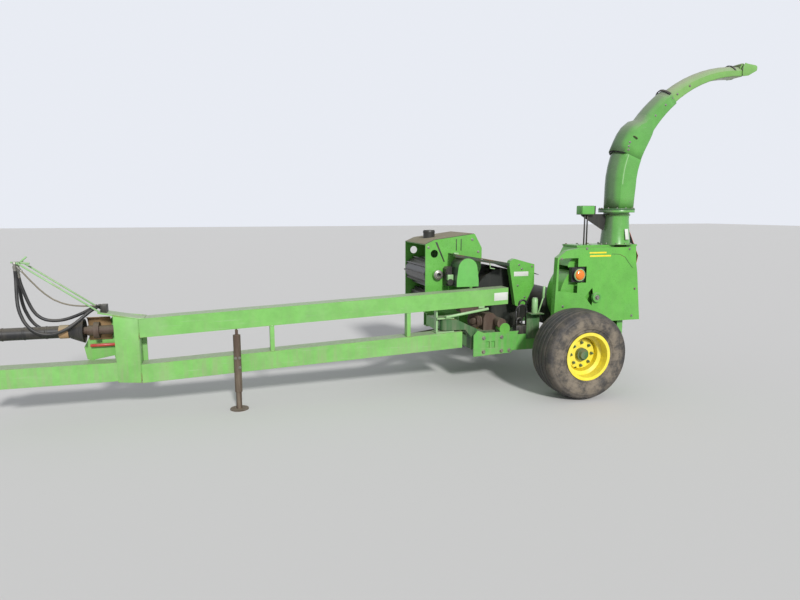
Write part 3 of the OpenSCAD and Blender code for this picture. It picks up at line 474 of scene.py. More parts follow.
# Cords from the couplers to the rack: width, plug width, plug length and points
HOSES = {
    "hose_1": (0.025, 0.030, 0.066, [
        (3940, 474, 891), (3989, 470, 861), (4035, 461, 825), (4079, 450, 789), (4125, 441, 754),
        (4176, 436, 726), (4230, 437, 707), (4287, 437, 703), (4343, 438, 717), (4390, 438, 749),
        (4426, 440, 795), (4449, 444, 847), (4465, 451, 902), (4473, 459, 960), (4475, 467, 1017),
        (4475.5, 474, 1075), (4475.5, 482, 1132), (4475.5, 482, 1190)]),
    "hose_2": (0.025, 0.030, 0.066, [
        (3940, 530, 891), (3989, 536, 861), (4035, 549, 825), (4079, 565, 789), (4125, 578, 754),
        (4176, 585, 726), (4230, 586, 707), (4287, 586, 703), (4343, 587, 717), (4390, 587, 749),
        (4426, 587, 795), (4449, 582, 847), (4465, 575, 902), (4473, 565, 960), (4475, 556, 1017),
        (4475.5, 548, 1075), (4475.5, 540, 1132), (4475.5, 540, 1190)]),
    "hose_3": (0.025, 0.030, 0.066, [
        (3943, 502, 899), (3983, 503, 879), (4024, 503, 858), (4064, 504, 839), (4106, 504, 822),
        (4148, 505, 808), (4192, 505, 798), (4237, 506, 795), (4282, 506, 799), (4324, 507, 813),
        (4360, 507, 840), (4386, 508, 876), (4405, 508, 917), (4420, 509, 959), (4433, 509, 1002),
        (4445, 510, 1046), (4456, 510, 1089), (4463, 511, 1134)]),
    "cable_1": (0.012, 0.020, 0.050, [
        (3943, 552, 905), (3967, 552, 905), (3992, 552, 905), (4017, 552, 906), (4042, 552, 907),
        (4067, 553, 910), (4092, 553, 913), (4116, 553, 918), (4140, 553, 924), (4164, 553, 932),
        (4187, 553, 941), (4209, 553, 953), (4231, 554, 965), (4251, 554, 980), (4270, 554, 996),
        (4289, 554, 1013), (4306, 554, 1031), (4323, 554, 1049), (4339, 554, 1068), (4354, 554, 1088),
        (4370, 554, 1107), (4385, 555, 1127), (4400, 555, 1147), (4414, 555, 1167), (4429, 555, 1187)])}
THIN_CORD = 0.02


def cord_line(name, width, path):
    """A smooth round curve through the points of a cord"""
    line = bpy.data.curves.new(name, "CURVE")
    line.dimensions = "3D"
    line.bevel_depth = width / 2
    line.bevel_resolution = 4
    line.resolution_u = 5
    spline = line.splines.new("BEZIER")
    spline.bezier_points.add(len(path) - 1)
    for point, place in zip(spline.bezier_points, path):
        point.co = place
        point.handle_left_type = point.handle_right_type = "AUTO"
    return line


def plug_outline(bore, r, long):
    """Crimped collar, nut and dust cap at a cord's free end"""
    collar = [(bore, -0.001), (r * 0.94, 0), (r * 0.94, 0.004), (r * 0.82, 0.006), (r * 0.82, 0.011)]
    nut = [(r * 0.94, 0.013), (r * 0.94, 0.02), (r, 0.022), (r, 0.036), (r * 0.7, 0.038)]
    cap = [(r * 0.7, 0.046), (r * 0.9, 0.047), (r * 0.9, long - 0.004), (r * 0.75, long - 0.0005)]
    return collar + nut + cap + [(0, long - 0.0005)]


for cord_name, (width, plug_width, plug_long, route) in HOSES.items():
    path = [at(*p) for p in route]
    line = cord_line(cord_name + "_line", width, path)
    tube = add(cord_name + "_tube", line, "tongue", CABLE if width < THIN_CORD else HOSE)
    ahead = (path[-1] - path[-2]).normalized()
    outline = plug_outline(width / 2 - 0.001, plug_width / 2, plug_long)
    plug = lathe(cord_name + "_plug", outline, placed(path[-1], ahead), 24, "tongue", GALVANISED)
    long = sum((b - a).length for a, b in zip(path, path[1:]))


def ease(shape, edges, offset, segments=2):
    """Rounds edges off"""
    bmesh.ops.bevel(shape, geom=list(edges), offset=offset, segments=segments, profile=0.5,
        affect="EDGES", material=-1)


def edges_of(made):
    """The edges of what a call has made"""
    return {edge for vert in made["verts"] for edge in vert.link_edges}


def bolt_row(name, body, spots, size):
    """Bolts of a washer and an eased hexagon, on places with their outward direction"""
    washer = [(0, -0.002), (size * 0.78, -0.002), (size * 0.78, 0.0022), (size * 0.6, 0.0028), (0, 0.0028)]
    width, high = size * 0.56, size * 0.42
    shape = bmesh.new()
    for place, out in spots:
        matrix = placed(place, out)
        turned(shape, washer, matrix, 20)
        middle = matrix @ Matrix.Translation((0, 0, size * 0.21 + 0.0026))
        head = bmesh.ops.create_cone(shape, cap_ends=True, segments=6, radius1=width, radius2=width,
            depth=high, matrix=middle)
        ease(shape, edges_of(head), size * 0.05, 1)
        settle(shape)
    return solid(name, shape, body, GALVANISED)


def ring_bolts(middle, radius, count, out, start):
    """Bolt places on a circle, each with its outward direction"""
    middle, out = Vector(middle), Vector(out)
    side = out.orthogonal().normalized()
    up = out.cross(side).normalized()
    spots = []
    for i in range(count):
        a = start + i * 2 * math.pi / count
        spots.append((middle + radius * (math.cos(a) * side + math.sin(a) * up), out))
    return spots


def slab(shape, outline, y, thick, lip=0.0015):
    """A plate from an outline in X and Z, standing out to the left of y, with its outer edge eased"""
    face = shape.faces.new([shape.verts.new(at(x, y, z)) for x, z in outline])
    made = bmesh.ops.extrude_face_region(shape, geom=[face])
    moved = [g for g in made["geom"] if isinstance(g, bmesh.types.BMVert)]
    bmesh.ops.translate(shape, vec=(0, thick / 1000, 0), verts=moved)
    ease(shape, [g for g in made["geom"] if isinstance(g, bmesh.types.BMEdge)], lip)


def plates(name, body, outlines, y, thick, finish):
    """A piece of plates in one plane"""
    shape = bmesh.new()
    for outline in outlines:
        slab(shape, outline, y, thick)
    return solid(name, shape, body, finish)


def rectangle(x_from, z_from, x_to, z_to):
    """Outline of an upright rectangle"""
    return [(x_from, z_from), (x_to, z_from), (x_to, z_to), (x_from, z_to)]


# Rays start beyond the machine's near side and top, in mm
BESIDE, ABOVE = 3000, 4000


def struck(node, start, direction):
    """The first point, with its outward direction, where a ray meets a CAD node"""
    found, place, out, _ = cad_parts[node].ray_cast(start, Vector(direction))
    assert found, (node, start)
    return place, out


def near_side(node, spots):
    return [struck(node, at(x, BESIDE, z), (0, -1, 0)) for x, z in spots]


def on_top(node, spots):
    return [struck(node, at(x, y, ABOVE), (0, 0, -1)) for x, y in spots]


# Tyres: ribbed tread with eased grooves, shoulder, raised rings and rim guard on the sidewall
TRACK_Y, TREAD_HALF, CROWN_DROP = 1100, 145.5, 18
SIDEWALL = [
    (191, 143), (196, 147), (207, 148.5), (212, 151), (217, 155.5), (223, 156.5), (228, 154), (232, 156),
    (243, 161), (245, 164), (249, 164.5), (252, 163.5), (256, 166), (275, 170.5), (290, 172), (293, 171),
    (297, 172), (302, 172.3), (306, 170.8), (322, 169), (331, 167), (334, 168.5), (337, 168), (340, 165),
    (348, 163), (358, 161), (362, 160.5), (366, 158), (369, 153.5), (372.5, 149)]
GROOVES, GROOVE_GAP = (96, 48, 0), 48
GROOVE = [(8, 0), (5.5, -0.7), (4.5, -2.2), (3.4, -8.4), (2.2, -10), (0, -10),
    (-2.2, -10), (-3.4, -8.4), (-4.5, -2.2), (-5.5, -0.7), (-8, 0)]


def crown(y):
    """Radius of the tread at a distance from the tyre's middle"""
    return WHEEL_Z - CROWN_DROP * (abs(y) / TREAD_HALF) ** 2.4


def tyre_outline():
    """One side from the bead to the middle groove, then the other, in metres"""
    half = SIDEWALL + [(crown(TREAD_HALF) + 0.4, TREAD_HALF), (crown(130), 130), (crown(115), 115)]
    for g in GROOVES:
        half += [(crown(g + dy) + dr, g + dy) for dy, dr in GROOVE if g or dy >= 0]
        if g:
            half.append((crown(g - GROOVE_GAP / 2), g - GROOVE_GAP / 2))
    other = [(r, -y) for r, y in reversed(half[:-1])]
    return [(r / 1000, y / 1000) for r, y in half + other]


VALVE = [(0.0085, -0.008), (0.0085, 0.004), (0.006, 0.01), (0.0045, 0.03), (0.0045, 0.05),
    (0.0058, 0.051), (0.0058, 0.062), (0.004, 0.064), (0, 0.064)]
VALVE_SPOT = Matrix.Rotation(math.radians(-70), 4, "Z") @ Matrix.Translation((0.131, 0, -0.03))
for side, sign in (("left", 1), ("right", -1)):
    wheel = placed(at(0, sign * TRACK_Y, WHEEL_Z), (0, sign, 0))
    body = "wheel_" + side
    tyre = lathe("tyre_" + side + "_ribbed", tyre_outline(), wheel, 144, body, RUBBER)
    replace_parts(tyre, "tyre_" + side)
    lathe("valve_" + side, VALVE, wheel @ VALVE_SPOT, 16, body, PLASTIC)


def side_bolts(name, body, node, size, spots):
    """Bolts on the near side of a CAD node"""
    bolt_row(name, body, near_side(node, spots), size)


# Bolts on plates, housings and flanges
side_bolts("arm_bolts", "chassis", "main_frame", 0.024,
    [(700, 470), (520, 470), (700, 340), (520, 340), (440, 340)])
side_bolts("feed_bolts", "chassis", "feed_housing", 0.016,
    [(664, 1361), (600, 1241), (1110, 1290), (700, 900), (1110, 700), (700, 700)])
bearings = []
for x, z in ((1020, 1030), (1010, 760), (752, 980), (752, 760)):
    bearings += ring_bolts(at(x, 262, z), 0.034, 4, LEFT, 0.8)
bolt_row("bearing_bolts", "chassis", bearings, 0.011)
side_bolts("panel_bolts", "chassis", "control_shield", 0.013,
    [(239, 1118), (210, 1078), (249, 917), (171, 800), (100, 1100)])
blower_top = on_top("blower_housing", [(x, y) for x in (-800, -440, -320, -200) for y in (506, 728)])
bolt_row("blower_top_bolts", "chassis", blower_top, 0.015)
side_bolts("blower_side_bolts", "chassis", "belt_shield", 0.015,
    [(-700, 1280), (-240, 1290), (-760, 640), (-10, 760), (20, 1200), (-780, 900)])
bolt_row("foot_bolts", "chassis", ring_bolts(at(-632, SPOUT_Y, 1326), 0.148, 10, UP, 0.3), 0.013)
side_bolts("jack_bolts", "tongue", "parking_jack", 0.016, [(2885, 360), (2885, 440), (2915, 440)])

# Stripes, blank plates, seam of the door and light strap
plates("shield_stripes", "chassis",
    [rectangle(-268, 1258, -450, 1243), rectangle(-273, 1228, -499, 1212)],
    SHIELD_Y, 1, STRIPE)
plates("panel_plate", "chassis", [rectangle(292, 1053, 137, 1008)], 400, 1, BLANK)
beam_plate = [(444, 886), (582, 880), (582, 806), (444, 812)]
plates("beam_plate", "tongue", [beam_plate], 586, 1, BLANK)
arc = [(-509, 1238), (-597, 1233), (-657, 1204), (-705, 1146), (-746, 1100)]
seam = arc + [(x + 3, z - 4) for x, z in reversed(arc)]
plates("door_seam", "chassis", [seam], SHIELD_Y, 0.6, IRON)
plates("light_strap", "chassis", [rectangle(40, 733, 57, 973)], 744, 4, PALE)

# Capped end of the fan shaft, with its nut
FAN_X, FAN_Z = -358, 833
fan_cap = [(0.040, -0.024), (0.0465, -0.024), (0.0465, 0.004), (0.044, 0.007), (0.030, 0.0075),
    (0.028, 0.003), (0, 0.003)]
lathe("fan_cap", fan_cap, placed(at(FAN_X, 817, FAN_Z), LEFT), 40, "chassis", GREEN)
bolt_row("fan_nut", "chassis", [(at(FAN_X, 820, FAN_Z), LEFT)], 0.03)


def box(shape, matrix, size, offset, segments=2):
    """A box of a size in metres, put in place by a matrix, with rounded edges"""
    made = bmesh.ops.create_cube(shape, size=1, matrix=matrix @ Matrix.Diagonal((*size, 1)))
    ease(shape, edges_of(made), offset, segments)
    settle(shape)


# Green case of the turning motor over its dark frame
shape = bmesh.new()
box(shape, Matrix.Translation(at(-304, SPOUT_Y, 1641)), (0.136, 0.106, 0.084), 0.012, 3)
solid("motor_case", shape, "chassis", GREEN)

# Dark cap on the feed housing's top
top_cap = [(0.0556, 0.012), (0.0575, 0.014), (0.0575, 0.07), (0.060, 0.072), (0.060, 0.084),
    (0.054, 0.0965), (0.02, 0.0985), (0, 0.0985)]
lathe("top_cap", top_cap, Matrix.Translation(at(990, -100, 1348)), 40, "chassis", IRON)

# Blank label plate on the spout's neck
place, out = near_side("spout_base", [(-668, 1417)])[0]
shape = bmesh.new()
box(shape, placed(place, out), (0.045, 0.1, 0.004), 0.0012)
solid("neck_plate", shape, "chassis", BLANK)

# Amber lamp: pale bezel, fluted lens
LAMP_SIZE = 0.84
lamp = placed(at(-165, 814, 1050), LEFT) @ Matrix.Scale(LAMP_SIZE, 4)
bezel = [(0.062, -0.004), (0.068, -0.002), (0.069, 0.004), (0.065, 0.009), (0.059, 0.009), (0.057, 0.003)]
lathe("lamp_bezel", bezel, lamp, 48, "chassis", PALE)
lens = [(0.0575, 0.002), (0.056, 0.010), (0.050, 0.017), (0.036, 0.023), (0.018, 0.026), (0, 0.027)]
lathe("lamp_lens", lens, lamp, 48, "chassis", AMBER)

# Drive shaft shield: tan collar behind the bell and raised rings along the tube
SHIELD_R = 0.0478
along = placed(at(0, LINE_Y, SHAFT_Z), FRONT)
collar = [(SHIELD_R, 4.15), (0.052, 4.152), (0.053, 4.158), (0.053, 4.212), (0.052, 4.218), (SHIELD_R, 4.22)]
lathe("shield_collar", collar, along, 40, "tongue", TAN)
shape = bmesh.new()
for x in (4.30, 4.45, 4.60, 4.75):
    ring = ((SHIELD_R, 0), (0.0502, 0.003), (0.0508, 0.008), (0.0502, 0.013), (SHIELD_R, 0.016))
    turned(shape, [(r, x + further) for r, further in ring], along, 40)
solid("shield_rings", shape, "tongue", PLASTIC)

# Weld beads: radius and length of a step, in metres
BEAD_R, BEAD_STEP = 0.005, 0.006


def bead(shape, a, b):
    """A rippled weld bead with thin ends between two places"""
    long = (b - a).length
    count = max(4, int(long / BEAD_STEP))
    outline = []
    for i in range(count + 1):
        ripple = 0.82 + 0.18 * math.sin(i * 1.9)
        outline.append((BEAD_R * ripple * (0.3 if i in (0, count) else 1), long * i / count))
    turned(shape, outline, towards(a, b), 8)


def beads(name, lines):
    """Weld beads on the tongue between machine points"""
    shape = bmesh.new()
    for a, b in lines:
        bead(shape, at(*a), at(*b))
    solid(name, shape, "tongue", BEAM)


# Welds at the uprights' feet and heads and down the post plate
BEAM_FALL, BEAM_HALF, LOWER_Z, UPPER_Z = math.radians(2.4), 76, 498, 868
UPRIGHTS, WELD_HALF, WELD_Y = (1410, 2610), 17, 586.3


def beam_mid(x, z):
    """Height of a beam's middle line, which is z over the axle"""
    return z - x * math.tan(BEAM_FALL)


half = BEAM_HALF / math.cos(BEAM_FALL)
upright_lines = []
for x in UPRIGHTS:
    for z in (beam_mid(x, LOWER_Z) + half + 1, beam_mid(x, UPPER_Z) - half - 1):
        upright_lines.append(((x - WELD_HALF, WELD_Y, z), (x + WELD_HALF, WELD_Y, z)))
beads("upright_welds", upright_lines)
beads("post_welds", [((3644.5, 587, low), (3644.5, 587, high)) for low, high in ((290, 420), (642, 794))])


def rod(shape, a, b, width, sides=20):
    """A round rod with eased ends between two machine points, width in mm"""
    start, end = at(*a), at(*b)
    r, long = width / 2000, (end - start).length
    outline = [(0, 0), (r * 0.9, 0), (r, r * 0.12), (r, long - r * 0.12), (r * 0.9, long), (0, long)]
    turned(shape, outline, towards(start, end), sides)


def rods(name, body, lines, finish):
    """A piece of rods, each from a machine point to another with its width"""
    shape = bmesh.new()
    for a, b, width in lines:
        rod(shape, a, b, width)
    return solid(name, shape, body, finish)


def block(shape, low, high, lip=3):
    """A box with rounded edges from its low to its high machine corner"""
    low, high = at(*low), at(*high)
    box(shape, Matrix.Translation((low + high) / 2), high - low, lip / 1000)


# Spout: lofted along two bends, with a hood over the lower joint and a step at the upper one
SPLIT, LOW_BEND, TOP_BEND = 23, 800, 1306
RING_TOP, BEND_START, SPOUT_WALL, BACK_STEPS = 1656.3, 1865, 0.006, 8
LOW_MIDDLE = (NECK_X - LOW_BEND, BEND_START)
TOP_MIDDLE = (LOW_MIDDLE[0] - (TOP_BEND - LOW_BEND) * math.cos(math.radians(SPLIT)),
    LOW_MIDDLE[1] - (TOP_BEND - LOW_BEND) * math.sin(math.radians(SPLIT)))
TIP = (TOP_MIDDLE[0] - 10, TOP_MIDDLE[1] + TOP_BEND)


def on_bend(turn, run, out, across):
    """The point out from the spout's middle line at an angle of its bend and a run past it"""
    bend, (mx, mz) = (TOP_BEND, TOP_MIDDLE) if turn > SPLIT else (LOW_BEND, LOW_MIDDLE)
    a, r = math.radians(turn), bend + out
    x, z = mx + r * math.cos(a) - run * math.sin(a), mz + r * math.sin(a) + run * math.cos(a)
    return at(x, SPOUT_Y + across, z)


def cross_section(depth, width, rise, corner):
    """Curved back, flat sides and rounded front corners, as outward and sideways distances"""
    steps = range(-BACK_STEPS, BACK_STEPS + 1)
    points = [(depth / 2 - rise * (i / BACK_STEPS) ** 2, width / 2 * i / BACK_STEPS) for i in steps]
    for side, start in ((1, 90), (-1, 180)):
        for i in range(4):
            a = math.radians(start + 30 * i)
            out, across = corner * math.cos(a), corner * math.sin(a)
            points.append((-depth / 2 + corner + out, side * (width / 2 - corner) + across))
    return points


def section_at(turn, run, depth, width, rise, corner, shift):
    """Places of a cross-section on the bend, shifted outwards"""
    points = cross_section(depth, width, rise, corner)
    return [on_bend(turn, run, out + shift, across) for out, across in points]


def thicken(thing, wall, offset):
    """Gives a sheet its wall, inwards at offset -1 and to both sides at 0"""
    skin = thing.modifiers.new("wall", "SOLIDIFY")
    skin.thickness = wall
    skin.offset = offset


def loft(name, rows, finish, node):
    """A tube through rows of turn, run, depth, width, rise, corner and shift outwards"""
    shape = bmesh.new()
    rings = [chain(shape, section_at(*row), True)[1] for row in rows]
    for one, two in zip(rings, rings[1:]):
        bmesh.ops.bridge_loops(shape, edges=one + two)
    tube = solid(name, shape, "spout", finish)
    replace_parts(tube, node)
    thicken(tube, SPOUT_WALL, -1)


def mix(a, b, t):
    return a + (b - a) * t


# Straight foot of the riser, its bend and the narrower end under the hood
riser_rows = [(0, mix(RING_TOP - BEND_START, 0, t), 240, 236, 72, mix(40, 18, t), 0) for t in (0, 0.5)]
riser_rows += [(a, 0, 240, 236, 72, 14, 0) for a in (0, 6, 12, 17, 20.6)]
riser_rows += [(a, 0, 224, 221, 68, 12, 0) for a in (21.3, 25)]
loft("riser_tube", riser_rows, SPOUT, "spout_riser")
# Swollen hood, then the bend that narrows towards the upper step
hood_rows = [(a, 0, mix(176, 266, q), mix(214, 238, q), mix(62, 74, q), 14, mix(-12, 18, q))
    for a, q in ((20.3, 1), (25, 1), (28, 1), (31, 0.9), (34, 0.55))]
hood_rows += [(mix(36, 52.5, t / 5), 0, mix(176, 160, t / 5), mix(214, 206, t / 5), 62, 14, -12)
    for t in range(6)]
loft("bend_tube", hood_rows, SPOUT, "spout_bend")
# Last tube, with a short straight end at the tip
end_rows = [(mix(47, 90, t / 10), 0, mix(125.4, 104, t / 10), mix(193.4, 184, t / 10), 52, 12,
    mix(-20, 0, t / 10)) for t in range(11)]
loft("end_tube", end_rows + [(90, 10, 104, 184, 50, 12, 0)], TIP_GREEN, "spout_end")

# Turning ring under the riser and its bolts
ring = [(0.106, 1.6403), (0.164, 1.6403), (0.165, 1.6415), (0.165, 1.6545), (0.1635, 1.6563),
    (0.106, 1.6563), (0.106, 1.6403)]
neck_axis = Matrix.Translation(at(NECK_X, SPOUT_Y, 0))
turning_ring = lathe("turning_ring", ring, neck_axis, 64, "spout", DARK)
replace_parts(turning_ring, "spout_riser")
bolt_row("ring_bolts", "spout", ring_bolts(at(NECK_X, SPOUT_Y, 1656.5), 0.153, 12, UP, 0.2), 0.012)

# Neck under the ring, with its bolted foot and rolled bead
foot = [(0.132, 1.318), (0.157, 1.318), (0.158, 1.319), (0.158, 1.325), (0.157, 1.326), (0.139, 1.326),
    (0.1375, 1.33), (0.118, 1.54)]
rolled = [(0.118, 1.588), (0.124, 1.589), (0.128, 1.593), (0.128, 1.597), (0.124, 1.601), (0.118, 1.602)]
flange = [(0.118, 1.619), (0.163, 1.619), (0.165, 1.621), (0.165, 1.638), (0.164, 1.6397)]
inside = [(0.112, 1.6397), (0.112, 1.54), (0.132, 1.324), (0.132, 1.318)]
neck = lathe("neck_cone", foot + rolled + flange + inside, neck_axis, 64, "chassis", SPOUT)
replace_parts(neck, "spout_base")

# Black hoops of painted shade over the back, where the sections overlap: under the hood, at the upper step
# and ahead of the flap
HOOPS = (
    ("hood_hoop", 20.4, 262, 228, 6),
    ("step_hoop", 52.1, 186, 208, -9),
    ("tip_hoop", 86.6, 124, 186, 2))
for hoop, turn, depth, width, shift in HOOPS:
    shape = bmesh.new()
    edges = []
    for run in (-9, 9):
        back = section_at(turn, run, depth, width, 60, 14, shift)[:2 * BACK_STEPS + 1]
        edges += chain(shape, back)[1]
    bmesh.ops.bridge_loops(shape, edges=edges)
    bmesh.ops.solidify(shape, geom=shape.faces[:], thickness=0.009)
    solid(hoop, shape, "spout", PLASTIC)


def from_tip(outline):
    """An outline round the spout's tip"""
    return [(TIP[0] + x, TIP[1] + z) for x, z in outline]


def pin(shape, y_from, y_to, width):
    """A round bar on the flap's axis"""
    x, z = from_tip([(-14, 66)])[0]
    rod(shape, (x, y_from, z), (x, y_to, z), width)


# Ears and pin that carry the flap
shape = bmesh.new()
for y in (715, 575):
    slab(shape, from_tip([(20, 18), (4, 18), (-24, 60), (-14, 75), (20, 38)]), y, 10)
settle(shape)
pin(shape, 570, 730, 10)
ears = solid("flap_ears", shape, "spout", TIP_GREEN)
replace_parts(ears, "spout_end")

# Flap: two wings and a back sheet on its barrel
wing = [(-2, 56), (-14, 74), (-34, 68), (-142, 58), (-156, 48), (-160, 32), (-154, 8), (-60, -42),
    (6, -52), (12, -30), (8, 40)]
back = [(-30, 62), (-142, 52), (-154, 43), (-151, 48), (-142, 57), (-30, 67)]
shape = bmesh.new()
for outline, y, thick in ((wing, 748, 5), (wing, 547, 5), (back, 551, 198)):
    slab(shape, from_tip(outline), y, thick)
settle(shape)
pin(shape, 592, 708, 22)
flap = solid("flap_sheet", shape, "flap", TIP_GREEN)
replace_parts(flap, "deflector")

# Bolts along the spout's near side: angle, distance outwards and sideways
side_spots = [(22.5, 56, 119), (24, 66, 119), (25.5, 72, 119), (41, -20, 103.5), (47.5, -25, 103.5)]
side_spots += [(a, -24, 97) for a in (52, 55, 62)]
bolts = [(on_bend(a, 0, out, across), LEFT) for a, out, across in side_spots]
bolt_row("spout_side_bolts", "spout", bolts, 0.014)

# Painted highlight: a pale strip along the fold where the riser's near side meets its rounded back
shape = bmesh.new()
fold = [[shape.verts.new(on_bend(turn, 0, out, 118.4)) for out in (27, 37)] for turn in range(1, 21)]
for one, two in zip(fold, fold[1:]):
    shape.faces.new((one[0], one[1], two[1], two[0]))
bmesh.ops.recalc_face_normals(shape, faces=shape.faces[:])
bmesh.ops.solidify(shape, geom=shape.faces[:], thickness=0.0015)
solid("riser_fold_highlight", shape, "spout", PALE)

# Handle on the hood's near side
HANDLE_R = 0.005
corners = [on_bend(28.2, 0, out, across) for out, across in ((66, 116), (58, 130), (26, 130), (18, 116))]
shape = bmesh.new()
for one, two in zip(corners, corners[1:]):
    long = (two - one).length
    turned(shape, [(0, 0), (HANDLE_R, 0), (HANDLE_R, long), (0, long)], towards(one, two), 12)
solid("hood_handle", shape, "spout", IRON)

# Front of the tongue: near and far plate, web, top plate, then the two uprights
post_parts = (
    (574, 14, [(3645, 272), (3816, 289), (3820, 500), (3826, 828), (3645, 790)]),
    (422, 12, [(3605, 272), (3820, 289), (3855, 477), (4026, 447), (4055, 457), (4072, 557), (4030, 640),
        (4030, 690), (3880, 760), (3826, 828), (3605, 798)]),
    (436, 140, rectangle(3640.5, 285, 3652, 786)),
    (422, 166, [(3598, 786), (3640, 785), (3855, 830.4), (3931, 846), (3931, 856), (3855, 840.4), (3640, 796),
        (3598, 797)]),
    (514, 72, [(1392, 516.5), (1428, 515), (1428, 731.5), (1392, 733)]),
    (514, 72, [(2592, 466), (2628, 464.5), (2628, 681.3), (2592, 682.8)]))
shape = bmesh.new()
for y, thick, outline in post_parts:
    slab(shape, outline, y, thick)
posts = solid("post_plates", shape, "tongue", BEAM)
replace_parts(posts, "tongue_posts")

# Block on the top plate, with a sleeve and a nut for each cord
shape = bmesh.new()
slab(shape, [(3872, 844), (3914, 852.6), (3914, 906), (3872, 906)], 460, 96, 0.003)
settle(shape)
for width, _, _, route in HOSES.values():
    x, y, z = route[0]
    nut = 18 if width < THIN_CORD else 26
    rod(shape, (3912, y, z), (x - 6, y, z), nut * 0.8)
    rod(shape, (3918, y, z), (3930, y, z), nut, 6)
solid("hose_couplers", shape, "tongue", IRON)

# Rack that holds the cords' free ends
rack = [((3916, LINE_Y + y, 855), (4450, LINE_Y + y, 1250), 14) for y in (-60, 60)]
rack.append(((4450, 438, 1250), (4450, 582, 1250), 14))
rack.append(((4401, LINE_Y, 1294), (4466, LINE_Y, 1232.5), 14))
rack.append(((4385, LINE_Y, 1241), (4509, LINE_Y, 1252), 14))
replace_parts(rods("hose_rack", "tongue", rack, PALE), "hose_holder")

# Guard over the shaft's joint, and the red rest under the shaft
GUARD_X = 3860
arch = [at(GUARD_X, 438.5, 615)]
for turn in range(0, 91, 15):
    a = math.radians(turn)
    arch.append(at(GUARD_X, LINE_Y - 71 * math.cos(a), SHAFT_Z + 104 * math.sin(a)))
shape = bmesh.new()
made = bmesh.ops.extrude_edge_only(shape, edges=chain(shape, arch)[1])
moved = [g for g in made["geom"] if isinstance(g, bmesh.types.BMVert)]
bmesh.ops.translate(shape, vec=(0.168, 0, 0), verts=moved)
thicken(solid("joint_guard", shape, "tongue", TAN), 0.004, 0)
rest = [((3832, 464, 575), (4020, 464, 575), 26)] + [((x, 434, 575), (x, 464, 575), 14) for x in (3870, 3990)]
rods("shaft_rest", "tongue", rest, RED)

# Rear of the tongue: brace bar on its tabs, and the plate on the beam's end
rods("brace_bar", "tongue", [((1059, 590, 677), (641, 590, 737), 26)], PALE)
tabs = [[(676, 745), (735, 742), (735, 764), (676, 766)],
    [(1000, 660), (1060, 657), (1060, 690), (1000, 694)]]
plates("brace_tabs", "tongue", tabs, 562, 24, PALE)
shape = bmesh.new()
block(shape, (893.5, 435, 388), (897, 585, 534), 1.5)
solid("beam_end", shape, "tongue", BEAM)

# Capped tube on the left rail, and the disc at the gearbox's joint
shape = bmesh.new()
capped = [(0.046, 0), (0.0525, 0.001), (0.053, 0.003), (0.053, 0.09), (0.0515, 0.0925), (0, 0.0925)]
turned(shape, capped, placed(at(488, 540, 548), LEFT), 40)
block(shape, (460, 545, 484.5), (516, 600, 508))
solid("capped_tube", shape, "chassis", BRIGHT)
disc_turn = math.radians(35)
disc = placed(at(722, 452, 602), (math.cos(disc_turn), math.sin(disc_turn), 0))
disc_outline = [(0.028, -0.02), (0.068, -0.02), (0.071, -0.017), (0.071, 0.008), (0.066, 0.012),
    (0.046, 0.013), (0.044, 0.004), (0.030, 0.003), (0.030, 0.036), (0.026, 0.038), (0, 0.038)]
lathe("joint_disc", disc_outline, disc, 40, "chassis", RUSTY)

# Feed side: slits drawn as thin sheets of painted shade, hub of the upper front roll, bosses and top sheet in
# the shelf's painted light and shade
slits = [[(1043, 1340), (1023, 1340), (944, 1152), (958, 1152)]]
slits += [rectangle(x, 1255, x + 9, 1367) for x in (775, 824)]
plates("feed_slits", "chassis", slits, 240, 0.6, BLACKED)
hub = [(0.021, 0.0), (0.044, 0.0), (0.046, 0.002), (0.046, 0.016), (0.043, 0.019), (0.034, 0.020),
    (0.032, 0.026), (0.027, 0.028), (0.0215, 0.028), (0.021, 0.0)]
lathe("roll_hub", hub, placed(at(1020, 262, 1030), LEFT), 36, "chassis", GALVANISED)
shape = bmesh.new()
block(shape, (905, 332, 985), (960, 372, 1040))
block(shape, (817, 239, 1200), (864, 280, 1238))
solid("feed_bosses", shape, "chassis", PALE)
top_sheet = [(1141, 1320), (1050, 1360.5), (640, 1415.5), (640, 1418.5), (1050, 1363.5), (1142, 1322.5)]
plates("feed_top", "chassis", [top_sheet], -412, 636, SHELF)

# Slanted shelf: its handle and its lip
handle = [((560, 420, 1167), (551, 420, 1094), 9), ((551, 420, 1096), (505, 420, 1089), 9)]
rods("shelf_handle", "chassis", handle, PALE)
shelf_lip = [(910, 1231), (640, 1181), (355, 1135), (355, 1111), (640, 1157), (910, 1207)]
plates("shelf_lip", "chassis", [shelf_lip], 425, 5, SHELF)

# Lift cylinder on its bracket at the left rail
shape = bmesh.new()
block(shape, (130, 620.5, 440), (265, 632, 690), 2)
block(shape, (130, 620.5, 680), (265, 716, 690), 2)
solid("lift_bracket", shape, "chassis", DARK)
lift = [((210, 676, 689), (210, 676, 823), 56), ((210, 676, 820), (210, 676, 834), 46),
    ((172, 676, 689), (123, 676, 836), 13), ((123, 676, 828), (118, 676, 940), 24)]
rods("lift_cylinder", "chassis", lift, PALE)

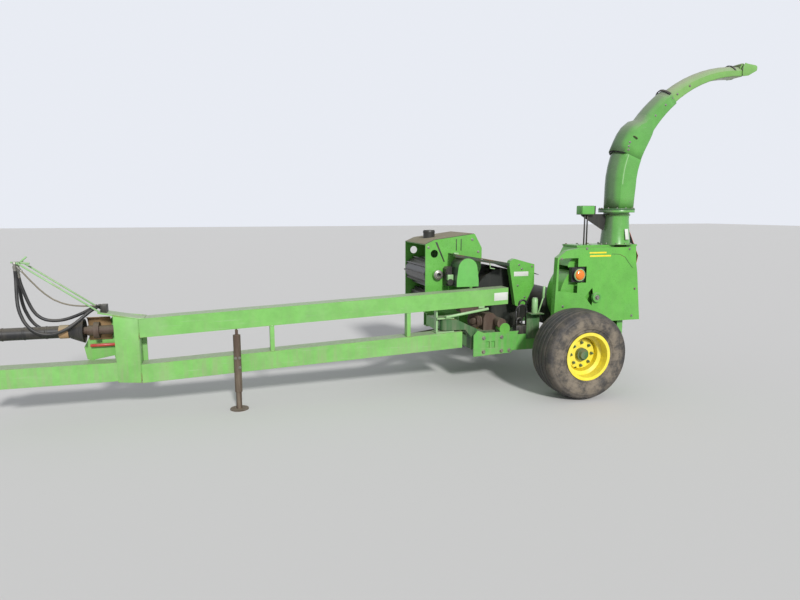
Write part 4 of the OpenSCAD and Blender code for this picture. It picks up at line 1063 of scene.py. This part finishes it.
# Valve block with bent pipes: two legs and a half turn each, and the straight pipes of the motor
PIPE_R, VALVE_TOP = 0.0095, 564
shape = bmesh.new()
block(shape, (228, 540, 485), (364, 618, 565))
for x, y, high, half_span in ((296, 584, 136, 56), (272, 558, 196, 38), (330, 606, 46, 26)):
    top = VALVE_TOP + high
    for leg_x in (x - half_span, x + half_span):
        rod(shape, (leg_x, y, VALVE_TOP), (leg_x, y, top), 2000 * PIPE_R, 12)
    turns = [math.radians(a) for a in range(0, 360, 30)]
    circle = [(PIPE_R * math.cos(a) + half_span / 1000, PIPE_R * math.sin(a), 0) for a in turns]
    points, edges = chain(shape, circle, True)
    bmesh.ops.spin(shape, geom=points + edges, cent=(0, 0, 0), axis=(0, 1, 0), angle=-math.pi, steps=16)
    for vert in shape.verts:
        if not vert.tag:
            vert.co += at(x, y, top)
    settle(shape)
solid("valve_pipes", shape, "chassis", PLASTIC)
motor_pipes = [((x, 670, 1318.5), (x, 670, 1602), 14) for x in (-314, -286)]
rods("motor_pipes", "chassis", motor_pipes, IRON)


def floor_material():
    """Pale matt ground"""
    made, _, shader = material("pale_floor")
    shader.inputs["Base Color"].default_value = (0.62, 0.61, 0.59, 1)
    shader.inputs["Roughness"].default_value = 0.9
    return made


# Floor, sky and sun
FLOOR_HALF, SKY, SKY_DIM, SKY_SEEN = 60, (0.9, 0.93, 1), 0.5, 0.4
SUN_STRENGTH, SUN_SIZE, SUN_TURN = 3.1, 0.12, (math.radians(-60), math.radians(-4), 0)
mesh = bpy.data.meshes.new("floor")
plane = bmesh.new()
bmesh.ops.create_grid(plane, x_segments=1, y_segments=1, size=FLOOR_HALF)
plane.to_mesh(mesh)
plane.free()
floor = bpy.data.objects.new("floor", mesh)
bpy.context.scene.collection.objects.link(floor)
mesh.materials.append(floor_material())

world = bpy.data.worlds.new("sky")
bpy.context.scene.world = world
world.use_nodes = True
sky = world.node_tree
background = sky.nodes["Background"]
background.inputs["Color"].default_value = (*SKY, 1)
paths = sky.nodes.new("ShaderNodeLightPath")
seen = calc(sky, "ADD", paths.outputs["Is Camera Ray"], paths.outputs["Is Glossy Ray"], True)
strength = calc(sky, "ADD", times(sky, seen, SKY_SEEN), SKY_DIM)
sky.links.new(strength, background.inputs["Strength"])
sun = bpy.data.lights.new("sun", "SUN")
sun.energy = SUN_STRENGTH
sun.angle = SUN_SIZE
sun_object = bpy.data.objects.new("sun", sun)
sun_object.rotation_euler = SUN_TURN
bpy.context.scene.collection.objects.link(sun_object)
bpy.context.scene.view_settings.view_transform = "Standard"
